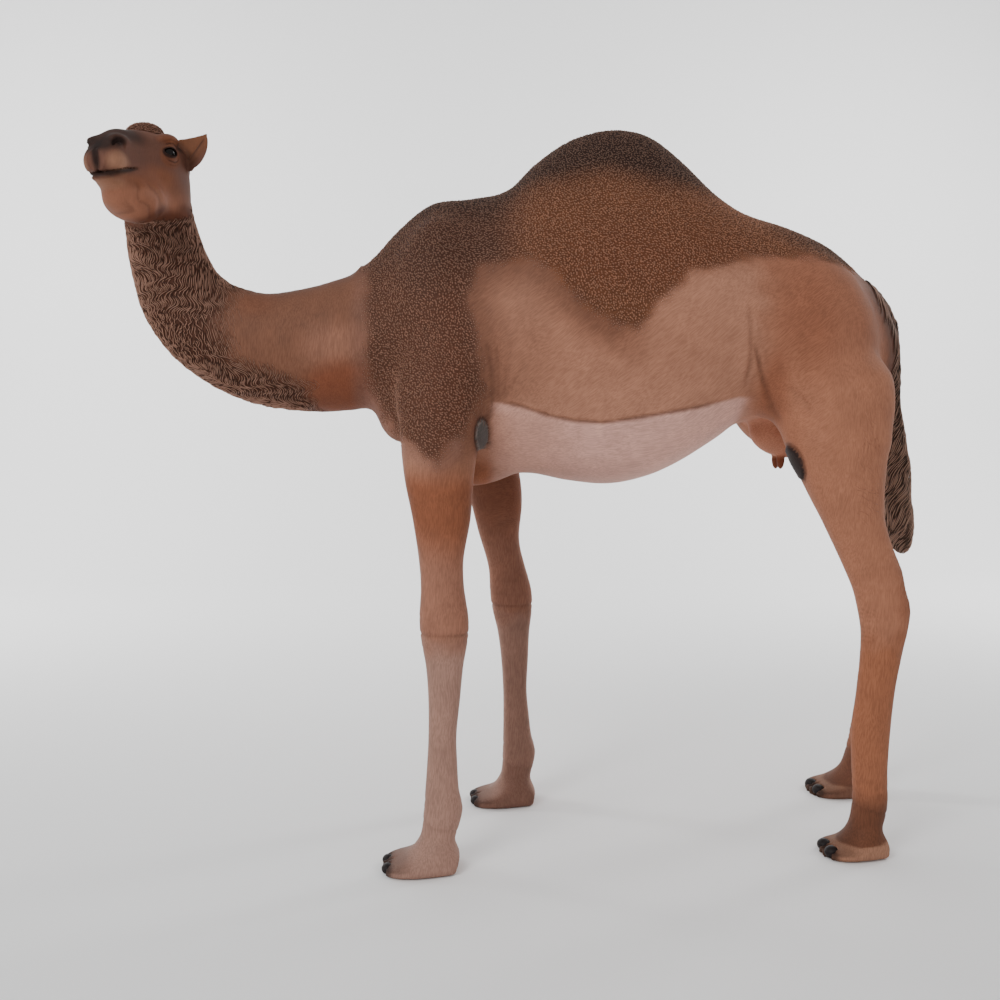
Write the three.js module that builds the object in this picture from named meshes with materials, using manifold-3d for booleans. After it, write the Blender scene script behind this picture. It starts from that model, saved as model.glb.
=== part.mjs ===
// Life-size dromedary camel, cast in glass-fibre resin and painted: a female standing with her
// head raised and turned to her left.
//
// Millimetres, +Z up. She faces -X and her left side is -Y. The ground is Z = 0, and at the end
// the group is moved so that its origin is the centre of the bounding box's base.
//
// The body is one field: a function of (x, y, z) that is negative inside and about the distance
// to the surface elsewhere. Sections, limbs and lumps are blended into it from named sizes.
// It is meshed region by region, and the regions are parted by thin cuts.

import * as THREE from 'three';
import { mergeVertices } from 'three/addons/utils/BufferGeometryUtils.js';
import Module from 'manifold-3d';

const wasm = await Module();
wasm.setup();

// ---------------------------------------------------------------- driving dimensions

const CUT = 0.5; // width of the cut between two neighbours
const GROUND = -8; // height of the soles below the legs' own zero

// Trunk, as sections across X: top and bottom of the section, half its width, height of its
// widest line, and how round the upper and lower halves are (2 is an ellipse, less is peaked).
const TRUNK = [
  // x, top, bottom, half, widest, crown, keel
  [-390, 1655, 1300, 90, 1452, 2, 2],
  [-300, 1762, 1225, 155, 1452, 2, 2],
  [-200, 1842, 1142, 200, 1442, 1.9, 2.1],
  [-80, 1862, 1092, 240, 1430, 1.8, 2.2],
  [20, 1888, 1070, 272, 1420, 1.7, 2.2],
  [100, 1964, 1066, 290, 1415, 1.6, 2.2],
  [200, 2034, 1046, 302, 1410, 1.5, 2.2],
  [320, 2069, 1036, 310, 1410, 1.45, 2.2],
  [430, 2054, 1058, 312, 1415, 1.5, 2.2],
  [520, 1990, 1098, 306, 1425, 1.6, 2.2],
  [620, 1890, 1160, 290, 1440, 1.8, 2.2],
  [700, 1834, 1212, 270, 1450, 2, 2.1],
  [840, 1790, 1227, 235, 1460, 2.1, 2],
  [960, 1740, 1237, 195, 1450, 2.1, 2],
  [1060, 1664, 1252, 150, 1430, 2.1, 2],
  [1130, 1600, 1282, 105, 1420, 2, 2],
  [1180, 1512, 1332, 55, 1420, 2, 2],
];

// Neck, from inside the shoulders to inside the skull: centre, depth radius, side radius.
const NECK = [
  [-230, 0, 1502, 190, 160],
  [-389, 0, 1452, 190, 146],
  [-516, 0, 1426, 180, 126],
  [-672, 0, 1424, 161, 112],
  [-812, 0, 1477, 140, 102],
  [-895, 0, 1555, 124, 95],
  [-933, -8, 1645, 110, 92],
  [-952, -22, 1731, 100, 92],
  [-957, -48, 1810, 88, 90],
  [-956, -75, 1880, 56, 72],
];

// Left legs, as sections across Z: front and back edge, middle of the width, half the width.
// The shank starts below the knee or hock, and the foot below the fetlock.
const LEGS = {
  fore: {
    rows: [
      // z, front, back, middle, half
      [1432, -215, -135, -150, 34],
      [1342, -285, -70, -165, 88],
      [1160, -287, -75, -202, 92],
      [1057, -277, -88, -218, 78],
      [950, -256, -97, -226, 66],
      [842, -240, -116, -231, 58],
      [765, -235, -115, -233, 54],
      [680, -239, -103, -236, 59],
      [620, -234, -106, -238, 57],
      [550, -222, -118, -239, 47],
      [460, -216, -127, -240, 41],
      [360, -216, -137, -241, 38],
      [280, -220, -135, -242, 40],
      [212, -225, -131, -243, 46],
      [157, -229, -121, -243, 51],
      [90, -237, -138, -243, 50],
      [30, -264, -160, -243, 50],
    ],
    foot: { x: -232, scale: { left: 1, right: 1 } },
    shank: 635,
    fetlock: 118,
    regions: { left: [-420, -15], right: [-250, 150], inner: 95, top: 1150 },
  },
  hind: {
    rows: [
      [1432, 912, 1026, -150, 34],
      [1342, 819, 1097, -175, 96],
      [1165, 789, 1084, -206, 102],
      [1110, 800, 1071, -212, 95],
      [1054, 830, 1064, -218, 86],
      [999, 857, 1060, -223, 77],
      [943, 886, 1062, -227, 68],
      [880, 916, 1080, -230, 60],
      [803, 952, 1112, -233, 53],
      [746, 976, 1125, -235, 50],
      [690, 990, 1139, -237, 48],
      [633, 1000, 1133, -238, 46],
      [576, 1000, 1120, -239, 43],
      [463, 990, 1099, -241, 39],
      [349, 976, 1087, -243, 39],
      [234, 981, 1080, -243, 43],
      [142, 986, 1080, -243, 50],
      [80, 976, 1068, -243, 48],
      [30, 950, 1040, -243, 48],
    ],
    foot: { x: 990, scale: { left: 0.88, right: 1.04 } },
    shank: 660,
    fetlock: 112,
    regions: { left: [640, 1180], right: [760, 1420], inner: 85, top: 1150 },
  },
};

// The right legs are the left ones mirrored and set back, by an amount that varies with Z.
const STRIDE = {
  fore: [[1420, 40], [1200, 110], [1045, 172], [868, 193], [736, 219], [606, 229],
    [475, 237], [310, 247], [211, 253], [0, 264]],
  hind: [[1430, 60], [1165, 160], [1110, 178], [1000, 192], [880, 202], [745, 215], [633, 228],
    [455, 236], [353, 243], [286, 232], [218, 217], [150, 202], [70, 188], [0, 176]],
};

// A foot, from toe to heel, measured from its middle: height of the top and half the width.
const FOOT = [
  [-108, 8, 24],
  [-98, 24, 56],
  [-70, 35, 78],
  [-30, 49, 85],
  [10, 79, 82],
  [50, 98, 74],
  [82, 76, 64],
  [100, 48, 46],
  [108, 16, 18],
];
const FOOT_Y = 243;
const SOLE_EDGE = 18; // height above the ground where the foot is widest
const HEEL = { from: 86, slant: 0.42 }; // the heel's underside rises to the back
const TOE_CLEFT = { length: 34, width: 3 };
const NAILS = {
  fore: { ahead: -95, aside: 29, height: 15, size: [16, 19, 14] },
  hind: { ahead: -87, aside: 29, height: 18, size: [20, 20, 17] },
};

// Lumps of muscle, fat and bone on the trunk: [x, |y|, z], [length, breadth, height], blend.
const MUSCLES = [
  [[-185, 125, 1545], [105, 95, 225], 60], // shoulder blade
  [[-155, 185, 1300], [118, 72, 160], 50], // upper arm
  [[-281, 50, 1266], [78, 84, 108], 50], // breast
  [[-95, 0, 1080], [120, 84, 50], 40], // breast pad
  [[870, 145, 1430], [190, 115, 245], 60], // haunch
  [[905, 188, 1290], [140, 82, 150], 50], // thigh
];
const UDDER = { centre: [875, 0, 1200], size: [125, 78, 88] };
const TEATS = { x: [841, 900], y: 20, z: 1108, size: [13, 12, 30] };

const TAIL = [
  // x, y, z, depth radius, side radius
  [1070, 0, 1622, 27, 31],
  [1120, 0, 1592, 29, 32],
  [1158, 0, 1542, 30, 33],
  [1183, 0, 1452, 29, 32],
  [1188, 0, 1352, 29, 33],
  [1189, 0, 1262, 31, 36],
  [1198, 0, 1182, 37, 42],
  [1208, 0, 1102, 43, 47],
  [1213, 0, 1022, 44, 48],
  [1221, 0, 942, 45, 47],
  [1230, 0, 862, 37, 40],
  [1235, 0, 834, 18, 20],
];
const TAIL_TUFT_TOP = 1185;

// Head, in its own frame: +X ahead, +Y to its left, +Z up, origin between the eyes.
const HEAD = { at: [-962, -125, 1942], turn: 72, nod: -7, lean: 2 };
const SKULL = [
  // x, top, bottom, half, widest, crown, keel
  [-140, -4, -70, 40, -34, 2.0, 2.0],
  [-105, 26, -112, 60, -28, 2.0, 1.9],
  [-55, 46, -140, 71, -22, 2.0, 1.8],
  [0, 46, -146, 77, -20, 2.1, 1.8],
  [50, 44, -138, 62, -30, 2.2, 1.8],
  [100, 37, -126, 50, -45, 2.2, 1.9],
  [150, 30, -116, 47, -52, 2.2, 2.0],
  [190, 10, -106, 48, -54, 2.2, 2.1],
  [216, -16, -96, 42, -56, 2.1, 2.1],
  [234, -34, -86, 24, -60, 2.0, 2.0],
];
const FEATURES = [
  // [x, |y|, z], [length, breadth, height], blend
  [[-35, 48, -80], [62, 25, 56], 22], // cheek
  [[-6, 61, 21], [40, 22, 17], 14], // brow
  [[202, 24, -58], [30, 27, 32], 12], // upper lip
  [[175, 30, -8], [36, 21, 18], 14], // nostril rim
  [[188, 0, -105], [34, 32, 16], 12], // chin
  [[82, 0, -134], [108, 69, 63], 30], // jowl
];
const EYE = { at: [4.4, 62, -14], radius: 21 };
const LIDS = { at: [5, 86, -14], size: [18, 14, 12] };
const NOSTRIL = { at: [196, 40, -14], size: [17, 7, 7] };
const MOUTH = { front: [236, -89], corner: [131, -68] };
const CROWN = { at: [-15, -12, 45], size: [54, 52, 33] };
// An ear is a cupped leaf. Its upper edge runs straight to the tip and its lower one bulges.
const EAR = {
  at: [-92, 64, -16],
  length: 92,
  upper: 74,
  lower: 54,
  cup: 15,
  wall: 7,
  along: [-0.08, 0.69, 0.72],
  across: [-0.25, -0.68, 0.69],
  out: [0.96, -0.12, 0.24],
};

// Cuts between neighbours.
const NECK_BASE = -395; // plane across X where the neck leaves the shoulders
const HUMP_CUT = { at: [360, 0, 1856], tilt: 0.075 };
const THROAT_CUT = { at: [-960, -60, 1802], roll: 0.32, tilt: -0.08 };
const JAW_BACK = -95; // behind the eyes, in the head's frame

// Where each part is meshed, from one corner to the other, and the size of its cells.
const MESHED = {
  trunk: [[-470, -360, 990], [1260, 360, 2150], [90, 78, 72]],
  hump: [[-40, -300, 1760], [800, 300, 2150], [68, 60, 52]],
  neck: [[-1130, -190, 1170], [-330, 190, 1900], [62, 58, 62]],
  head: [[-1150, -400, 1740], [-830, 40, 2060], [23.4, 22.3, 21]],
  tail: [[1040, -70, 780], [1300, 70, 1680], [28, 30, 56]],
};
const LEG_CELLS = { upper: [50, 48, 92], lower: [38, 36, 90], foot: [37, 35, 31] };

// ---------------------------------------------------------------- fields

const { abs, cos, hypot, max, min, sin } = Math;

// Smooth curve through rows of [position, value, value, ...].
function track(rows) {
  const last = rows.length - 1;
  const rising = rows[last][0] > rows[0][0];
  const slope = (i, column) => {
    const [a, b] = [rows[max(i - 1, 0)], rows[min(i + 1, last)]];
    return (b[column] - a[column]) / (b[0] - a[0]);
  };
  const columns = rows[0].slice(1).map((_, column) => column + 1);
  const slopes = rows.map((_, i) => columns.map((column) => slope(i, column)));
  return (t) => {
    let i = 0;
    while (i < last - 1 && (rising ? t > rows[i + 1][0] : t < rows[i + 1][0])) i += 1;
    const [a, b] = [rows[i], rows[i + 1]];
    const span = b[0] - a[0];
    const u = min(max((t - a[0]) / span, 0), 1);
    const [u2, u3] = [u * u, u * u * u];
    return columns.map((column, k) =>
      a[column] * (2 * u3 - 3 * u2 + 1) + b[column] * (3 * u2 - 2 * u3)
      + span * (slopes[i][k] * (u3 - 2 * u2 + u) + slopes[i + 1][k] * (u3 - u2)));
  };
}

// Distance, near enough, from an oval outline: `across` and `along` are the offsets from its
// centre, `half` and `reach` its radii, and `power` its roundness.
function oval(across, along, half, reach, power) {
  const ratio = ((abs(across) / half) ** power + (abs(along) / reach) ** power) ** (1 / power);
  return ratio < 1e-6 ? -min(half, reach) : hypot(across, along) * (1 - 1 / ratio);
}

// Smooth union of two distances, rounded over k millimetres.
function blend(k, a, b) {
  const h = max(k - abs(a - b), 0) / k;
  return min(a, b) - h * h * k / 4;
}

// Smooth difference: a with b carved out of it.
const carve = (k, a, b) => -blend(k, -a, b);

// A body along X from sections like TRUNK's.
function barrel(rows) {
  const at = track(rows);
  const [first, last] = [rows[0][0], rows[rows.length - 1][0]];
  return (x, y, z) => {
    const [top, bottom, half, widest, crown, keel] = at(x);
    const upper = z > widest;
    const side = upper
      ? oval(y, z - widest, half, top - widest, crown)
      : oval(y, z - widest, half, widest - bottom, keel);
    return max(side, first - x, x - last);
  };
}

// An upright body from sections like a leg's.
function post(rows) {
  const at = track(rows);
  const [first, last] = [rows[0][0], rows[rows.length - 1][0]];
  return (x, y, z) => {
    const [front, back, middle, half] = at(z);
    const side = oval(y - middle, x - (front + back) / 2, half, (back - front) / 2, 2.15);
    return max(side, z - first, last - z);
  };
}

// A bent body along a curve that stays near the XZ plane, from rows like NECK's.
function limb(rows) {
  const steps = 4;
  const at = track(rows.map((row, i) => [i, ...row]));
  const points = [];
  for (let i = 0; i <= (rows.length - 1) * steps; i += 1) points.push(at(i / steps));
  return (x, y, z) => {
    let best = Infinity;
    for (let i = 0; i < points.length - 1; i += 1) {
      const [p, q] = [points[i], points[i + 1]];
      const [dx, dy, dz] = [q[0] - p[0], q[1] - p[1], q[2] - p[2]];
      const dot = (x - p[0]) * dx + (y - p[1]) * dy + (z - p[2]) * dz;
      const u = min(max(dot / (dx * dx + dy * dy + dz * dz), 0), 1);
      const [ox, oy, oz] = [x - p[0] - u * dx, y - p[1] - u * dy, z - p[2] - u * dz];
      const deep = p[3] + u * (q[3] - p[3]);
      const broad = p[4] + u * (q[4] - p[4]);
      best = min(best, oval(oy, hypot(ox, oz), broad, deep, 2));
    }
    return best;
  };
}

// An ellipsoid.
function lump([cx, cy, cz], [rx, ry, rz]) {
  return (x, y, z) => {
    const [px, py, pz] = [x - cx, y - cy, z - cz];
    const k = hypot(px / rx, py / ry, pz / rz);
    const g = hypot(px / rx ** 2, py / ry ** 2, pz / rz ** 2);
    return g < 1e-9 ? -min(rx, ry, rz) : k * (k - 1) / g;
  };
}

// The same lump on both sides of the mid-plane.
function pair([cx, cy, cz], size) {
  const one = lump([cx, cy, cz], size);
  return (x, y, z) => one(x, abs(y), z);
}

const headFrame = new THREE.Matrix4();
{
  const [turn, nod, lean] = [HEAD.turn, HEAD.nod, HEAD.lean].map(THREE.MathUtils.degToRad);
  const ahead = new THREE.Vector3(-cos(turn) * cos(nod), -sin(turn) * cos(nod), sin(nod));
  const left = new THREE.Vector3(sin(turn), -cos(turn), 0);
  const up = new THREE.Vector3().crossVectors(ahead, left);
  const leftLeaned = left.clone().multiplyScalar(cos(lean)).addScaledVector(up, sin(lean));
  const upLeaned = up.clone().multiplyScalar(cos(lean)).addScaledVector(left, -sin(lean));
  headFrame.makeBasis(ahead, leftLeaned, upLeaned).setPosition(...HEAD.at);
}
const headInverse = headFrame.clone().invert();

// A field of the head's own frame, read in the body's frame.
function onHead(field) {
  const m = headInverse.elements;
  return (x, y, z) => field(
    m[0] * x + m[4] * y + m[8] * z + m[12],
    m[1] * x + m[5] * y + m[9] * z + m[13],
    m[2] * x + m[6] * y + m[10] * z + m[14],
  );
}

const skull = barrel(SKULL);
const features = FEATURES.map(([at, size, k]) => [pair(at, size), k]);
const nostril = pair(NOSTRIL.at, NOSTRIL.size);
const lids = pair(LIDS.at, LIDS.size);
const headField = onHead((x, y, z) => {
  let d = skull(x, y, z);
  for (const [field, k] of features) d = blend(k, d, field(x, y, z));
  return carve(6, carve(8, d, nostril(x, y, z)), lids(x, y, z));
});
const neckField = limb(NECK);
const headAndNeck = (x, y, z) => blend(34, headField(x, y, z), neckField(x, y, z));

const barrelField = barrel(TRUNK);
const muscles = MUSCLES.map(([at, size, k]) => [pair(at, size), k]);

// A leg as it would stand on the left: its shaft and its foot.
function leftLeg({ rows, foot: { x: fx } }, scale) {
  const shaft = post(rows);
  const at = track(FOOT);
  const [toe, heel] = [FOOT[0][0], FOOT[FOOT.length - 1][0]];
  return (x, y, z) => {
    const lx = (x - fx) / scale;
    const sideways = (y + FOOT_Y) / scale;
    const [top, half] = at(lx);
    const up = (z - GROUND - SOLE_EDGE) / scale;
    const reach = up > 0 ? max(top - SOLE_EDGE, 4) : 1.5 * SOLE_EDGE;
    const pad = oval(sideways, up, half, reach, 2.3) * scale;
    const slanted = lx - HEEL.from - HEEL.slant * (z - GROUND);
    const ends = max(toe - lx, lx - heel, slanted) * scale;
    return blend(30, shaft(x, y, z), max(pad, ends));
  };
}

const legFields = {};
for (const [name, leg] of Object.entries(LEGS)) {
  const right = leftLeg(leg, leg.foot.scale.right);
  const setBack = track(STRIDE[name]);
  legFields[`${name}_left`] = leftLeg(leg, leg.foot.scale.left);
  legFields[`${name}_right`] = (x, y, z) => right(x - setBack(z)[0], -y, z);
}

// The body without the head, tail, udder and the parts that are not flesh.
function bodyField(x, y, z) {
  let d = blend(60, barrelField(x, y, z), neckField(x, y, z));
  for (const [field, k] of muscles) d = blend(k, d, field(x, y, z));
  if (z < 1500) {
    const legs = y < 0 ? ['fore_left', 'hind_left'] : ['fore_right', 'hind_right'];
    for (const name of legs) d = blend(50, d, legFields[name](x, y, z));
  }
  return d;
}

// ---------------------------------------------------------------- solids

// Closed mesh of a field inside a box, by dual contouring of a grid: one vertex in each cell
// that the surface crosses, pulled onto the surface, and one quad for each crossed edge.
function solidOf(field, low, high, cell) {
  const boxed = (x, y, z) => max(field(x, y, z),
    low[0] - x, x - high[0], low[1] - y, y - high[1], low[2] - z, z - high[2]);
  const count = [0, 1, 2].map((i) => Math.ceil((high[i] - low[i]) / cell[i]) + 3);
  const spot = (i, n) => low[i] + (n - 1.37) * cell[i];
  const index = (i, j, k) => (k * count[1] + j) * count[0] + i;
  const value = new Float64Array(count[0] * count[1] * count[2]);
  for (let k = 0; k < count[2]; k += 1) {
    for (let j = 0; j < count[1]; j += 1) {
      for (let i = 0; i < count[0]; i += 1) {
        value[index(i, j, k)] = boxed(spot(0, i), spot(1, j), spot(2, k));
      }
    }
  }
  const corners = [...Array(8).keys()].map((c) => [c & 1, (c >> 1) & 1, c >> 2]);
  const edges = [];
  for (let a = 0; a < 8; a += 1) {
    for (const step of [1, 2, 4]) if (!(a & step)) edges.push([a, a | step]);
  }
  const vertexAt = new Map();
  const positions = [];
  for (let k = 0; k < count[2] - 1; k += 1) {
    for (let j = 0; j < count[1] - 1; j += 1) {
      for (let i = 0; i < count[0] - 1; i += 1) {
        const v = corners.map(([a, b, c]) => value[index(i + a, j + b, k + c)]);
        const sum = [0, 0, 0];
        let crossed = 0;
        for (const [a, b] of edges) {
          if (v[a] < 0 !== v[b] < 0) {
            const t = v[a] / (v[a] - v[b]);
            const base = [i, j, k];
            for (let n = 0; n < 3; n += 1) {
              const p = corners[a][n] + t * (corners[b][n] - corners[a][n]);
              sum[n] += spot(n, base[n] + p);
            }
            crossed += 1;
          }
        }
        if (crossed) {
          vertexAt.set(index(i, j, k), positions.length / 3);
          positions.push(...settle(boxed, sum.map((s) => s / crossed), cell));
        }
      }
    }
  }
  const triangles = [];
  const distance = (a, b) => hypot(
    positions[3 * a] - positions[3 * b],
    positions[3 * a + 1] - positions[3 * b + 1],
    positions[3 * a + 2] - positions[3 * b + 2],
  );
  const quad = (a, b, c, d) => {
    if (distance(a, c) < distance(b, d)) triangles.push(a, b, c, a, c, d);
    else triangles.push(a, b, d, b, c, d);
  };
  for (let k = 1; k < count[2] - 1; k += 1) {
    for (let j = 1; j < count[1] - 1; j += 1) {
      for (let i = 1; i < count[0] - 1; i += 1) {
        const here = value[index(i, j, k)] < 0;
        for (let n = 0; n < 3; n += 1) {
          const next = [i, j, k];
          next[n] += 1;
          const there = value[index(...next)] < 0;
          if (here !== there) {
            const [p, q] = [(n + 1) % 3, (n + 2) % 3];
            const ring = [[0, 0], [-1, 0], [-1, -1], [0, -1]].map(([u, w]) => {
              const at = [i, j, k];
              at[p] += u;
              at[q] += w;
              return vertexAt.get(index(...at));
            });
            if (here) quad(...ring);
            else quad(...ring.reverse());
          }
        }
      }
    }
  }
  return toManifold(new Float32Array(positions), new Uint32Array(triangles));
}

// Pull a point onto the field's surface, by no more than about half a cell.
function settle(field, start, cell) {
  const p = [...start];
  const h = 0.5;
  const limit = 0.45 * min(...cell);
  for (let round = 0; round < 4; round += 1) {
    const d = field(...p);
    const g = [
      field(p[0] + h, p[1], p[2]) - field(p[0] - h, p[1], p[2]),
      field(p[0], p[1] + h, p[2]) - field(p[0], p[1] - h, p[2]),
      field(p[0], p[1], p[2] + h) - field(p[0], p[1], p[2] - h),
    ].map((v) => v / (2 * h));
    const square = max(g[0] ** 2 + g[1] ** 2 + g[2] ** 2, 0.04);
    for (let n = 0; n < 3; n += 1) {
      const moved = p[n] - d * g[n] / square;
      p[n] = min(max(moved, start[n] - limit), start[n] + limit);
    }
  }
  return p;
}

function toManifold(vertProperties, triVerts) {
  return new wasm.Manifold(new wasm.Mesh({ numProp: 3, vertProperties, triVerts }));
}

// A three.js geometry as a solid to cut with.
function solidFrom(geometry, matrix = new THREE.Matrix4()) {
  const bare = geometry.clone().applyMatrix4(matrix);
  bare.deleteAttribute('normal');
  bare.deleteAttribute('uv');
  const merged = mergeVertices(bare, 1e-4);
  return toManifold(merged.attributes.position.array, new Uint32Array(merged.index.array));
}

// A block between two corners, in the body's frame or in another.
function block(low, high, matrix) {
  const size = high.map((h, i) => h - low[i]);
  const middle = high.map((h, i) => (h + low[i]) / 2);
  const geometry = new THREE.BoxGeometry(...size).translate(...middle);
  return solidFrom(geometry, matrix);
}

// A faceted egg with its poles above and below.
function egg(at, size, grow, around, rings, frame = new THREE.Matrix4()) {
  const place = frame.clone()
    .multiply(new THREE.Matrix4().makeTranslation(...at))
    .multiply(new THREE.Matrix4().makeScale(...size.map((r) => r + grow)))
    .multiply(new THREE.Matrix4().makeRotationX(Math.PI / 2));
  return solidFrom(new THREE.SphereGeometry(1, around, rings), place);
}

// The largest single body of a solid: a cut can leave crumbs.
function largest(solid) {
  const bodies = solid.decompose();
  return bodies.reduce((a, b) => (a.volume() > b.volume() ? a : b));
}

const FAR = 3000;
const group = new THREE.Group();

function addPart(name, solid, colour, roughness = 0.75) {
  const mesh = largest(solid).getMesh();
  const geometry = new THREE.BufferGeometry();
  geometry.setAttribute('position', new THREE.BufferAttribute(mesh.vertProperties, 3));
  geometry.setIndex(new THREE.BufferAttribute(mesh.triVerts, 1));
  geometry.computeVertexNormals();
  const material = new THREE.MeshStandardMaterial({ color: colour, roughness, metalness: 0 });
  const part = new THREE.Mesh(geometry, material);
  part.name = name;
  group.add(part);
}

const PAINT = {
  dark: 0x4a332b,
  brown: 0x7d5140,
  tan: 0x9a6a50,
  pale: 0xa98a7e,
  horn: 0x2c2524,
  eye: 0x0c0a0a,
};

// ---------------------------------------------------------------- legs

// Region of each leg, cut out of the trunk: down from the elbow or the stifle.
const legRegions = {};
const WIDE = 430; // beyond the widest part of the body
for (const [name, { regions: { left, right, inner, top } }] of Object.entries(LEGS)) {
  legRegions[`${name}_left`] = [[left[0], -WIDE, -50], [left[1], -inner, top]];
  legRegions[`${name}_right`] = [[right[0], inner, -50], [right[1], WIDE, top]];
}

const swell = ([low, high], by) => [low.map((v) => v - by), high.map((v) => v + by)];

for (const [name, [low, high]] of Object.entries(legRegions)) {
  const [kind, side] = name.split('_');
  const { foot: { x: footX, scale: { [side]: scale } }, shank, fetlock } = LEGS[kind];
  const { ahead, aside, height, size } = NAILS[kind];
  const legField = legFields[name];
  const field = (x, y, z) => (z > shank + 60 ? bodyField(x, y, z) : legField(x, y, z));
  const slab = (from, to) => block([low[0] - 9, low[1] - 9, from], [high[0] + 9, high[1] + 9, to]);
  const span = (from, to) => [[low[0], low[1], from], [high[0], high[1], to]];

  const upper = solidOf(field, ...span(shank - 90, high[2] + 60), LEG_CELLS.upper);
  addPart(`${name}_upper_leg`,
    upper.intersect(slab(shank + CUT / 2, high[2])).intersect(block(low, high)), PAINT.tan);

  const lower = solidOf(field, ...span(fetlock - 60, shank + 80), LEG_CELLS.lower);
  addPart(`${name}_lower_leg`,
    lower.intersect(slab(fetlock + CUT / 2, shank - CUT / 2)), PAINT.pale);

  const sign = side === 'left' ? -1 : 1;
  const setBack = side === 'left' ? 0 : track(STRIDE[kind])(0)[0];
  const [toeX, middleY] = [footX + setBack + FOOT[0][0] * scale, sign * FOOT_Y];
  let foot = solidOf(field, ...span(GROUND, fetlock + 40), LEG_CELLS.foot)
    .intersect(slab(GROUND - 1, fetlock - CUT / 2))
    .subtract(block([toeX - 20, middleY - TOE_CLEFT.width / 2, -9],
      [toeX + TOE_CLEFT.length, middleY + TOE_CLEFT.width / 2, 99]));
  for (const toe of [1, 2]) {
    const nail = (grow) => egg([
      footX + setBack + ahead * scale,
      middleY + (toe === 1 ? -1 : 1) * aside * scale,
      GROUND + height,
    ], size, grow, 6, 4);
    foot = foot.subtract(nail(CUT));
    addPart(`${name}_nail_${toe}`, nail(0), PAINT.horn, 0.5);
  }
  addPart(`${name}_foot`, foot, PAINT.pale);
}

// ---------------------------------------------------------------- trunk, hump, udder, tail

const teats = [];
for (const x of TEATS.x) {
  for (const side of [-1, 1]) {
    teats.push((grow) => egg([x, side * TEATS.y, TEATS.z], TEATS.size, grow, 6, 5));
  }
}
let udder = egg(UDDER.centre, UDDER.size, 0, 14, 8);
const tail = solidOf(limb(TAIL), ...MESHED.tail);

const humpFrame = new THREE.Matrix4().makeRotationY(HUMP_CUT.tilt).setPosition(...HUMP_CUT.at);
const humpBlock = (grow) => block([-FAR, -FAR, -grow], [FAR, FAR, FAR], humpFrame)
  .intersect(behindNeck);

const behindNeck = block([NECK_BASE + CUT / 2, -FAR, 0], [FAR, FAR, FAR]);
let trunk = solidOf(bodyField, ...MESHED.trunk).intersect(behindNeck);
for (const region of Object.values(legRegions)) {
  trunk = trunk.subtract(block(...swell(region, CUT)));
}
udder = udder.subtract(trunk).translate([0, 0, -CUT]);
teats.forEach((teat, i) => {
  udder = udder.subtract(teat(CUT));
  addPart(`teat_${i + 1}`, teat(0), PAINT.brown);
});
addPart('udder', udder, PAINT.pale);

const tailOutside = tail.subtract(trunk).translate([CUT, 0, 0]);
addPart('tail', tailOutside.intersect(
  block([0, -FAR, TAIL_TUFT_TOP + CUT / 2], [FAR, FAR, FAR])), PAINT.dark);
addPart('tail_tuft', tailOutside.intersect(
  block([0, -FAR, 0], [FAR, FAR, TAIL_TUFT_TOP - CUT / 2])), PAINT.dark);

trunk = trunk.subtract(humpBlock(CUT));
const hump = solidOf(bodyField, ...MESHED.hump).intersect(humpBlock(0));
addPart('hump', hump, PAINT.dark);
addPart('trunk', trunk, PAINT.brown);

// ---------------------------------------------------------------- head

const throatFrame = new THREE.Matrix4().makeRotationFromEuler(
  new THREE.Euler(THROAT_CUT.roll, THROAT_CUT.tilt, 0)).setPosition(...THROAT_CUT.at);
const aboveThroat = block([-FAR, -FAR, CUT / 2], [FAR, FAR, FAR], throatFrame);
const belowThroat = block([-FAR, -FAR, -FAR], [FAR, FAR, -CUT / 2], throatFrame);

const neck = solidOf((x, y, z) => (x < -700 ? headAndNeck(x, y, z) : bodyField(x, y, z)),
  ...MESHED.neck)
  .intersect(block([-FAR, -FAR, 0], [NECK_BASE - CUT / 2, FAR, FAR]))
  .intersect(belowThroat);
addPart('neck', neck, PAINT.dark);

let head = solidOf(headAndNeck, ...MESHED.head).intersect(aboveThroat);

const eyeGeometry = (grow) => new THREE.SphereGeometry(EYE.radius + grow, 12, 8);
const crown = (grow) => egg(CROWN.at, CROWN.size, grow, 14, 8, headFrame);
const rise = new THREE.Vector3().setFromMatrixColumn(headFrame, 2).multiplyScalar(CUT);
addPart('crown_tuft', crown(0).subtract(head).translate(rise.toArray()), PAINT.dark);

const headWhole = head;
for (const [side, sign] of [['left', 1], ['right', -1]]) {
  const at = new THREE.Matrix4().setPosition(EYE.at[0], sign * EYE.at[1], EYE.at[2]);
  const place = headFrame.clone().multiply(at);
  head = head.subtract(solidFrom(eyeGeometry(CUT), place));
  addPart(`eye_${side}`, solidFrom(eyeGeometry(0), place), PAINT.eye, 0.1);
}

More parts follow.
